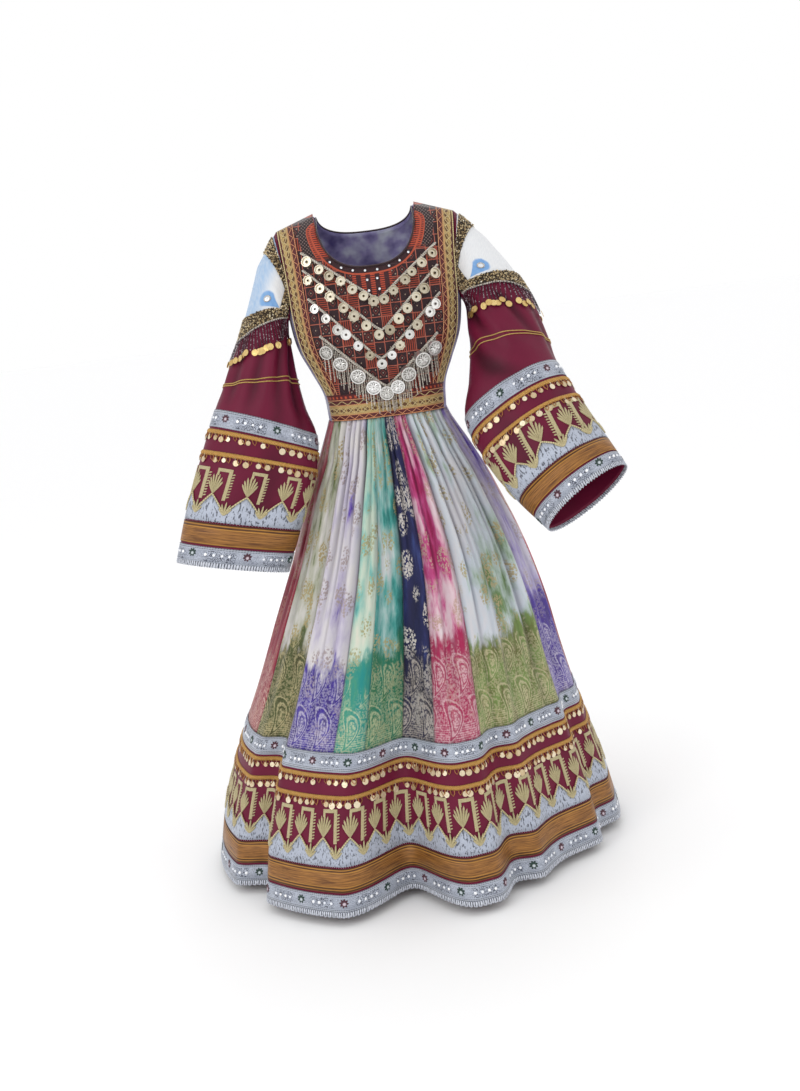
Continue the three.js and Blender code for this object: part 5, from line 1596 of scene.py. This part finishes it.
chest = Chest()
BAND_INNER = 0.755
BAND_OUTER = 0.925
BAND_FOOT = -366
chest_trims = []
pale_cord = thread_look("pale_edge_cord", "a28a56", "e2cf9c", 0.1, 2.2)
orange_cord = thread_look("orange_thread", "b8683f", "eab383", 0.05, 2.0)
for name, side in (("right", 1), ("left", -1)):
    shares = np.linspace(BAND_INNER, BAND_OUTER, 9) * side
    angles = panel_angle(shares)
    tops = column_top(angles, NECK_FRONT) - 3.0
    rows = np.linspace(0, 1, 70)[:, None]
    z = tops + (BAND_FOOT - tops) * rows
    x = bodice_point(angles, z)[..., 0]
    points = chest.at(x, -z, 1.6)
    band = sheet_mesh(f"side_band_cloth_{name}", points, cloth_map(points), turned=side < 0)
    give_wall(band, RIBBON)
    settle(band, band_look(f"armhole_band_{name}", False), "gold_stitch", f"side_band_{name}")
    chest_trims.append(band)
    grid = Surface(points, middle=BODICE_MIDDLE)
    long = runs(points, 0)[-1, 0] / MM
    down = np.linspace(0.004, 0.996, 220)
    turns = long / 20
    zigzag = 0.19 + 0.13 * (np.abs((down * turns * 2) % 2 - 1) * 2 - 1)
    lens = 0.165 * np.sin(np.pi * down * long * MM / LENS)
    for cord, across, material, radius in (
        ("edge", 0 * down + 0.01, orange_cord, 0.8), ("zigzag", zigzag, orange_cord, 0.6),
        ("inner", 0 * down + 0.37, orange_cord, 0.6), ("outer", 0 * down + 0.985, pale_cord, 1.5),
        ("lens", 0.68 + lens, pale_cord, 0.9), ("crossing", 0.68 - lens, pale_cord, 0.9),
    ):
        made = cord_on(f"band_{cord}_{name}", grid, across, down, 0.5, radius, 4, False, material)
        chest_trims.append(made)

waist_shares = np.linspace(-BAND_OUTER - 0.01, BAND_OUTER + 0.01, 120)
waist_rows = np.linspace(0, 1, 10)[:, None]
waist_z = WAIST + 1 + 53 * waist_rows
waist_x = bodice_point(panel_angle(waist_shares), waist_z)[..., 0]
waist_points = chest.at(waist_x, -waist_z, 1.6)
waist_band = sheet_mesh("waist_band_cloth", waist_points, cloth_map(waist_points), turned=True)
give_wall(waist_band, RIBBON)
settle(waist_band, band_look("waist_band_stitches", True), "gold_stitch", "waist_band")
chest_trims.append(waist_band)
waist_grid = Surface(waist_points, middle=np.array([0.0, 0.0, -390.0]))
along = np.linspace(0.003, 0.997, 330)
saw = np.abs((along * 24) % 2 - 1) * 2 - 1
lens = 0.095 * np.sin(np.pi * along * runs(waist_points, 1)[0, -1] / LENS)
for cord, height, material, radius in (
    ("foot", 0.02 + 0 * along, orange_cord, 0.9), ("zigzag", 0.115 + 0.07 * saw, orange_cord, 0.65),
    ("lens", 0.387 + lens, pale_cord, 0.9), ("crossing", 0.387 - lens, pale_cord, 0.9),
    ("middle", 0.21 + 0 * along, orange_cord, 0.7), ("upper", 0.59 + 0 * along, orange_cord, 0.7),
    ("wave", 0.68 + 0.06 * np.sin(along * 66), pale_cord, 0.8), ("top", 0.795 + 0 * along, orange_cord, 0.9),
):
    chest_trims.append(cord_on("waist_" + cord, waist_grid, along, height, 0.5, radius, 4, False, material))


# The mirrors of the front: small discs of mirror glass, each held by a round of dark stitches, on the
# strip at the foot of the neck and down the block under it.
def disc_shape(radius, high):
    """A small round mirror with a bevelled edge."""
    start_disc(16, radius, high)
    bpy.ops.mesh.inset(thickness=radius * 0.2)
    bpy.ops.transform.translate(value=(0, 0, high * 0.3))
    return take_shape()


mirror_ring = tube_shape([(math.cos(t) * 4.6, math.sin(t) * 4.6, 0.8) for t in np.arange(16) / 16 * math.tau],
                         [(0, 0, 1)] * 16, 0.9, 5, closed=True)
mirror_disc = disc_shape(4.4, 0.7)
mirror_glass = metal_look("mirror_glass", "c7cdd6", "ffffff", 0.12)
mirror_thread = thread_look("mirror_stitches", "1c1016", "4a2026", 0.0, 1.4)
MIRRORS = ((-78, 104), (-57, 117.5), (-35, 125.5), (-11, 128.5), (13, 129), (37, 125), (59, 117), (78, 103),
           (-9, 147), (11, 146), (-8, 168), (13, 167))
mirror_places = [(x, down, 0, 0.66, 0.4) for x, down in MIRRORS]
for part, shape, look in (
    ("glass", mirror_disc, mirror_glass), ("stitches", posed(mirror_ring, size=(1, 1, 1.2)), mirror_thread),
):
    made = stud(f"chest_mirror_{part}", chest, shape, mirror_places, 29)
    settle(made, look, "silver_coins")
    chest_trims.append(made)


# The binding of the neck: a narrow roll of near-black satin that goes all round the opening.
half_neck = np.linspace(-0.5125, 0.5125, 121)
front_turns, back_turns = panel_angle(half_neck), math.pi - panel_angle(half_neck[::-1])
neck_loop = np.concatenate([bodice_point(front_turns, column_top(front_turns, NECK_FRONT)),
                            bodice_point(back_turns, column_top(back_turns, NECK_BACK))])
neck_steps = np.linalg.norm(np.roll(neck_loop, -1, axis=0) - neck_loop, axis=-1)
neck_loop = neck_loop[neck_steps > 0.8] + (0, 0, 1.6)
neck_points, neck_faces = tube_shape(neck_loop, neck_loop - neck_loop.mean(axis=0), 1.9, 8, closed=True)
neck_roll = plain_mesh("neck_roll", neck_points, neck_faces, cord_map(along_line(neck_loop), 8),
                       np.zeros(len(neck_points)), 80)
settle(neck_roll, thread_look("dark_binding", "12080c", "3a1520", 0.0, 1.2), "binding", "neck_binding")
chest_trims.append(neck_roll)


# The strings on the chest: four twisted silver cords in a V, with a row of stamped coins hung close
# together under each. The lowest has larger coins and a dense fringe of silver beads.
def pierced_coin(vertices, radius, hole, lobes=0.0):
    """A stamped coin with a raised rim, a sunk field and a hole in its middle."""
    bpy.ops.mesh.primitive_cylinder_add(vertices=vertices, radius=radius, depth=1.1)
    start_edit("DESELECT")
    pick_flat(both=True)
    bpy.ops.mesh.inset(thickness=radius * 0.13, use_individual=True)
    bpy.ops.mesh.inset(thickness=radius * 0.06, use_individual=True)
    bpy.ops.transform.resize(value=(1, 1, 0.35), center_override=(0, 0, 0))
    bpy.ops.mesh.inset(thickness=radius * 0.81 - hole * 1.35, use_individual=True)
    bpy.ops.mesh.inset(thickness=hole * 0.35, use_individual=True)
    bpy.ops.transform.resize(value=(1, 1, 2.2), center_override=(0, 0, 0))
    bpy.ops.mesh.bridge_edge_loops()
    points, faces = take_shape()
    reach = np.hypot(points[:, 0], points[:, 1])
    turn = np.arctan2(points[:, 1], points[:, 0])
    rim = np.clip((reach / radius - 0.5) * 2, 0, 1)
    points[:, :2] *= (1 + lobes * np.cos(turn * vertices / 2) * rim)[:, None]
    return points, faces


def rope_on(name, surface, u, v, lift, radius, pitch):
    """A silver cord of two strands twisted round each other, along a line on a sheet."""
    line = surface.at(u, v, lift)
    up = surface.at(u, v, lift + 2.0) - line
    up = unit(up)
    along = np.gradient(line, axis=0)
    along = unit(along)
    side = np.cross(along, up)
    run = along_line(line)
    strands = []
    for start in (0.0, math.pi):
        turn = (run / pitch * 2 * np.pi + start)[:, None]
        strand = line + (up * np.cos(turn) + side * np.sin(turn)) * radius
        strands.append(tube_shape(strand, up + side * 0.3, radius, 5))
    points, faces = together(*strands)
    flat = np.tile(cord_map(run, 5), (2, 1))
    made = plain_mesh(name, points, faces, flat, np.repeat([0.2, 0.8], len(points) // 2), 70)
    settle(made, silver_rope, "silver_coins")
    return made


# Each string: its number, point of the V (right, down), left end, right end, coins, coin radius
STRINGS = (
    ("1", (8, 189), (-132, 80), (132, 92), 13, 10.2), ("2", (7, 250), (-132, 114), (131, 134), 13, 10.4),
    ("3", (0, 304), (-128, 170), (129, 188), 13, 10.0), ("4", (4, 360), (-114, 244), (115, 264), 9, 15.2),
)
round_coin = pierced_coin(14, 1.0, 0.24)
star_coin = pierced_coin(16, 1.0, 0.2, 0.09)
medal_ring = pierced_coin(20, 1.0, 0.12)
medal = together(posed(medal_ring, size=(1, 1, 0.9)),
                 *[posed(leaf, 36 * n, (0, 0, 0.25), (3.0, 0.78, 0.16)) for n in range(10)])
champagne = metal_look("champagne_coin", "8f8168", "f6efdc", 0.28)
silver_rope = thread_look("silver_rope", "6d655f", "efe8da", 0.15, 2.2)
chance = random.Random(33)
for number, tip, left, right, count, radius in STRINGS:
    ends = np.array([left, tip, right], float)
    total = np.linalg.norm(np.diff(ends, axis=0), axis=-1)
    share = np.linspace(0, total.sum(), 330)
    u = np.interp(share, [0, total[0], total.sum()], ends[:, 0])
    v = np.interp(share, [0, total[0], total.sum()], ends[:, 1])
    v = v - 3.0 * np.exp(-(((u - tip[0]) / 7) ** 2))
    rope = rope_on(f"chest_rope_{number}", chest, u, v, 4.2, 1.5, 8.0)
    plain, stars = [], []
    for n in range(count):
        x = left[0] + (n + 0.5) * (right[0] - left[0]) / count + chance.uniform(-3.6, 3.6)
        down = float(np.interp(x, u, v)) + radius * chance.uniform(0.8, 1.3)
        size = radius * chance.uniform(0.9, 1.06)
        lift = (4.6 if number != "4" else 7.4) + 1.3 * (n % 2)
        place = (x, down, chance.uniform(-40, 40), size, lift)
        (stars if chance.random() < 0.16 and number != "4" else plain).append(place)
    shape = medal if number == "4" else round_coin
    coins = stud(f"chest_coins_{number}", chest, shape, plain, 40 + int(number))
    settle(coins, silver_metal if number in "34" else champagne, "silver_coins", f"coins_{number}")
    chest_trims += [rope, coins]
    if stars:
        starry = stud(f"chest_stars_{number}", chest, star_coin, stars, 50 + int(number))
        settle(starry, champagne, "silver_coins")
        chest_trims.append(starry)

small_bead = pillow(1.0, 1.0, 0.5, 5, 3)


def bead_string(long, bead_size):
    """A string of beads that hangs down from the origin."""
    count = int(long / bead_size)
    return together(*[posed(small_bead, 0, (0, -(n + 1) * bead_size, 0), (bead_size, bead_size, bead_size))
                      for n in range(count)])


def bead_look(name, stops, roughness, metallic, speckle):
    """Glass and metal beads, each in one of a few colours."""
    look = Look(name, roughness=roughness, metallic=metallic)
    x, y = look.place()
    tint = look.mark("tint")
    along = look.noise(look.point(x * 0.2, y * speckle, tint * 60.0), 1.0, 2.0, 0.6)
    look.colour(look.ramp(look.limit((along - 0.5) * 2.2 + tint * 0.3 + 0.35), stops, "CONSTANT"))
    look.bump(look.noise(look.point(x, y, tint * 9.0), 2.0), 0.0002)
    return look.material


STEEL = ((0.0, "6a605a"), (0.25, "a39a90"), (0.45, "c9c1b4"), (0.72, "f0ebdf"))
steel_beads = bead_look("steel_beads", STEEL, 0.35, 0.1, 0.9)
_, last_tip, last_left, last_right, _, _ = STRINGS[-1]
LAST_LINE = np.array([last_left, last_tip, last_right], float)
FRINGE_PITCH = 3.5
strings = {72: [], 62: [], 52: [], 40: [], 26: [], 14: []}
for n in range(-31, 32):
    x = n * FRINGE_PITCH + chance.uniform(-0.5, 0.5)
    start = float(np.interp(x, LAST_LINE[:, 0], LAST_LINE[:, 1])) + 4
    room = min(chance.choice((72, 72, 62, 52)), 418 - start)
    fit = max((long for long in strings if long <= room), default=None)
    if fit:
        strings[fit].append((x, start, chance.uniform(-3, 3), chance.uniform(0.96, 1.0), 4.4 + 0.8 * (n % 2)))
fringes = []
for long, places in strings.items():
    if places:
        fringe = lay(f"chest_fringe_beads_{long}", chest, bead_string(long, 3.0), places, long)
        settle(fringe, steel_beads, "silver_coins", "chest_fringe")
        fringes.append(fringe)
chest_trims += fringes


def chest_width(points):
    """How wide a panel of the bodice is, just below its armholes, in metres."""
    rows = (points[..., 2] > -210.0).sum(axis=0)
    line = points[rows, np.arange(points.shape[1]), :2]
    return float(along_line(line)[-1]) * MM


front_wide, front_long = chest_width(panel.points), runs(panel.points, 0)[-1].max()
grid_area(panel.points)
back_wide, back_long = chest_width(back.points), runs(back.points, 0)[-1].max()
grid_area(back.points)


# The shoulder patches: white cotton with a dyed blue drop round a mirror, framed by a broad border
# of gold, cream and black beads. They cap the sleeves and are sewn over them.
# Places round the arm are counted in twentieths
ROUND_PARTS = 20
PATCH_EDGE = 7 / ROUND_PARTS
TEAR_AT = (3.7 / ROUND_PARTS, 1.95 / RINGS)
TEAR_TIP = (5.5 / ROUND_PARTS, 2.36 / RINGS)


def cotton_patch(name, blue_edge):
    """White slubbed cotton with a light blue drop, and some blue dye at the outside of the arm."""
    look = Look(name, roughness=0.85, sheen=0.25)
    x, y = look.place()
    long, off = look.mark("tear_along"), look.mark("tear_across")
    soft = look.noise(look.point(x * 120, y * 120), 1.0, 3.0)
    round_end = look.math("MINIMUM", long, 0.0)
    reach = look.math("SQRT", off * off + round_end * round_end)
    width = look.math("MAXIMUM", 0.0165 * (1 - look.math("MAXIMUM", long, 0.0) / 0.036), 0.0002)
    inside = reach / width + (soft - 0.5) * 0.12
    blue = look.step(inside, 1.15, 0.85)
    slub = look.noise(look.point(x * 90, y * 900), 1.0, 2.0)
    cotton = look.mix(slub, "cfd2d8", "f4f4f3")
    dyed = look.mix(blue, cotton, look.mix(soft, "5f93cf", "8fb6e0"))
    edge = look.step(look.mark("outer"), 0.26, 0.16) * blue_edge
    look.colour(look.mix(look.limit(edge * (0.4 + soft)), dyed, "8db2d8"))
    look.bump(look.limit(slub * 0.5 + threads(look, x, y, 0.0011) * 0.5), 0.0003)
    return look.material


mosaic_bead = pillow(1.0, 1.0, 0.5, 4, 3)
MOSAIC = ((0.0, "14100f"), (0.32, "493b2b"), (0.48, "a08862"), (0.62, "cfbd95"), (0.78, "efe7d3"))
mosaic_look = bead_look("mosaic_beads", MOSAIC, 0.35, 0.1, 0.0)
mosaic_ground = Look("mosaic_ground", roughness=0.8)
mx, my = mosaic_ground.place()
mottle = mosaic_ground.noise(mosaic_ground.point(mx, my), 400.0)
mosaic_ground.colour(mosaic_ground.mix(mottle, "1d1512", "4c3d28"))
# Strips of the beaded border: from and to in twentieths of the arm's round, then in rings of the sleeve
FRAME_STRIPS = ((-7, 7, 0.16, 0.62), (-7, 7, 2.4, 3.0), (5.5, 7, 0.6, 2.42), (-7, -5.6, 0.6, 2.42))
fringe_coin = posed(small_coin(12, 7.0, 0.9), 0, (0, -6.0, 0.3))
STRING_STEP = 2.7
STRING_BEADS = 16
STRING_COUNT = 54
DARK = ((0.0, "1d1216"), (0.42, "4a3640"), (0.6, "8d8189"), (0.8, "cfc7c8"))
dark_strings = bead_look("dark_strings", DARK, 0.3, 0.35, 0.7)
gold_metal = metal_look("gold_coin", "a97c34", "fbe3a0", 0.26)

for name, surface in sleeves.items():
    u, v = np.meshgrid(np.linspace(-PATCH_EDGE, PATCH_EDGE, 64), np.linspace(0.12, 3, 44) / RINGS)
    points = surface.at(u, v, 1.4)
    wide, tall = surface.scale(np.array(TEAR_AT[0]), np.array(TEAR_AT[1]))
    tip = np.array([(TEAR_TIP[0] - TEAR_AT[0]) * wide, (TEAR_TIP[1] - TEAR_AT[1]) * tall])
    tip = tip / np.linalg.norm(tip)
    from_heart = np.stack([(np.abs(u) - TEAR_AT[0]) * wide, (v - TEAR_AT[1]) * tall], axis=-1) * MM
    marks = {"tear_along": from_heart @ tip, "tear_across": from_heart @ np.array([-tip[1], tip[0]]),
             "outer": np.abs(u + 0.05)}
    cotton = sheet_mesh(f"patch_cloth_{name}", points, cloth_map(points), turned=surface.turned, marks=marks)
    give_wall(cotton, RIBBON)
    blue_edge = 0.8 if name == "left" else 0.0
    settle(cotton, cotton_patch(f"dyed_cotton_{name}", blue_edge), "white_cloth", f"shoulder_patch_{name}")

    # The mirror in the drop, on both the front and the back of the patch
    spots = [(TEAR_AT[0], TEAR_AT[1], 0, 1.3, 1.8), (-TEAR_AT[0], TEAR_AT[1], 0, 1.3, 1.8)]
    disc = lay(f"patch_mirror_{name}", surface, mirror_disc, spots, 2)
    settle(disc, mirror_glass, "silver_coins")
    rim = lay(f"patch_mirror_rim_{name}", surface, mirror_ring, spots, 2)
    settle(rim, silver_rope, "silver_coins")

    # The beaded border: a dark ground strip and beads sewn on close together
    grounds, kept = [], []
    draw = np.random.default_rng(61)
    for left, right, top, low in FRAME_STRIPS:
        spread = np.meshgrid(np.linspace(left, right, 44) / ROUND_PARTS, np.linspace(top, low, 10) / RINGS)
        grid = surface.at(*spread, 2.6)
        ground = sheet_mesh("ground", grid, cloth_map(grid), turned=surface.turned)
        give_wall(ground, RIBBON)
        grounds.append(ground)
        u_try, v_try = draw.uniform(left, right, 9000) / ROUND_PARTS, draw.uniform(top, low, 9000) / RINGS
        where = np.floor(surface.at(u_try, v_try, 0.0) / 3.35).astype(int)
        _, first = np.unique(where, axis=0, return_index=True)
        for i in sorted(first):
            kept.append((u_try[i], v_try[i], draw.uniform(0, 180), draw.uniform(2.8, 4.1), 2.9))
    bpy.ops.object.select_all(action="DESELECT")
    for ground in grounds:
        ground.select_set(True)
    bpy.context.view_layer.objects.active = grounds[0]
    bpy.ops.object.join()
    frame_ground = bpy.context.object
    frame_ground.name = f"patch_frame_{name}"
    frame_ground.select_set(False)
    settle(frame_ground, mosaic_ground.material, "dark_beads", f"patch_border_{name}")
    beads = stud(f"patch_beads_{name}", surface, posed(mosaic_bead, 0, (0, -0.5, 0)), kept, 71)
    settle(beads, mosaic_look, "dark_beads")
    reach = np.linspace(-6.9, 6.9, 200) / ROUND_PARTS
    foot_rope = rope_on(f"patch_rope_{name}", surface, reach, 0 * reach + 3.03 / RINGS, 3.6, 1.1, 6.0)

    # The fringe: strings of dark and silver beads, most with a thin gold coin at the end
    starts = np.linspace(-6.6, 6.6, STRING_COUNT) / ROUND_PARTS
    trail = fall(surface, starts, np.full(STRING_COUNT, 3.04 / RINGS), STRING_STEP, STRING_BEADS)
    places, coins = [], []
    for n in range(STRING_COUNT):
        length = STRING_BEADS - chance.choice((0, 0, 1, 2))
        for u_at, v_at in [(step[0][n], step[1][n]) for step in trail[:length]]:
            places.append((u_at, v_at, chance.uniform(0, 90), 2.6, 3.7 + 0.5 * (n % 2)))
        if chance.random() < 0.52:
            u_at, v_at = trail[length][0][n], trail[length][1][n]
            coins.append((u_at, v_at, chance.uniform(-14, 14), 1.0, 3.8 + 1.0 * (n % 3)))
    strings_made = stud(f"shoulder_strings_{name}", surface, posed(small_bead, 0, (0, -0.5, 0)), places, 81)
    settle(strings_made, dark_strings, "gold_coins", f"shoulder_fringe_{name}")
    coins_made = stud(f"shoulder_coins_{name}", surface, fringe_coin, coins, 82)
    settle(coins_made, gold_metal, "gold_coins", f"shoulder_fringe_{name}")
    area = grid_area(points)
    wide, long = runs(points, 1)[:, -1].max(), runs(points, 0)[-1].max()
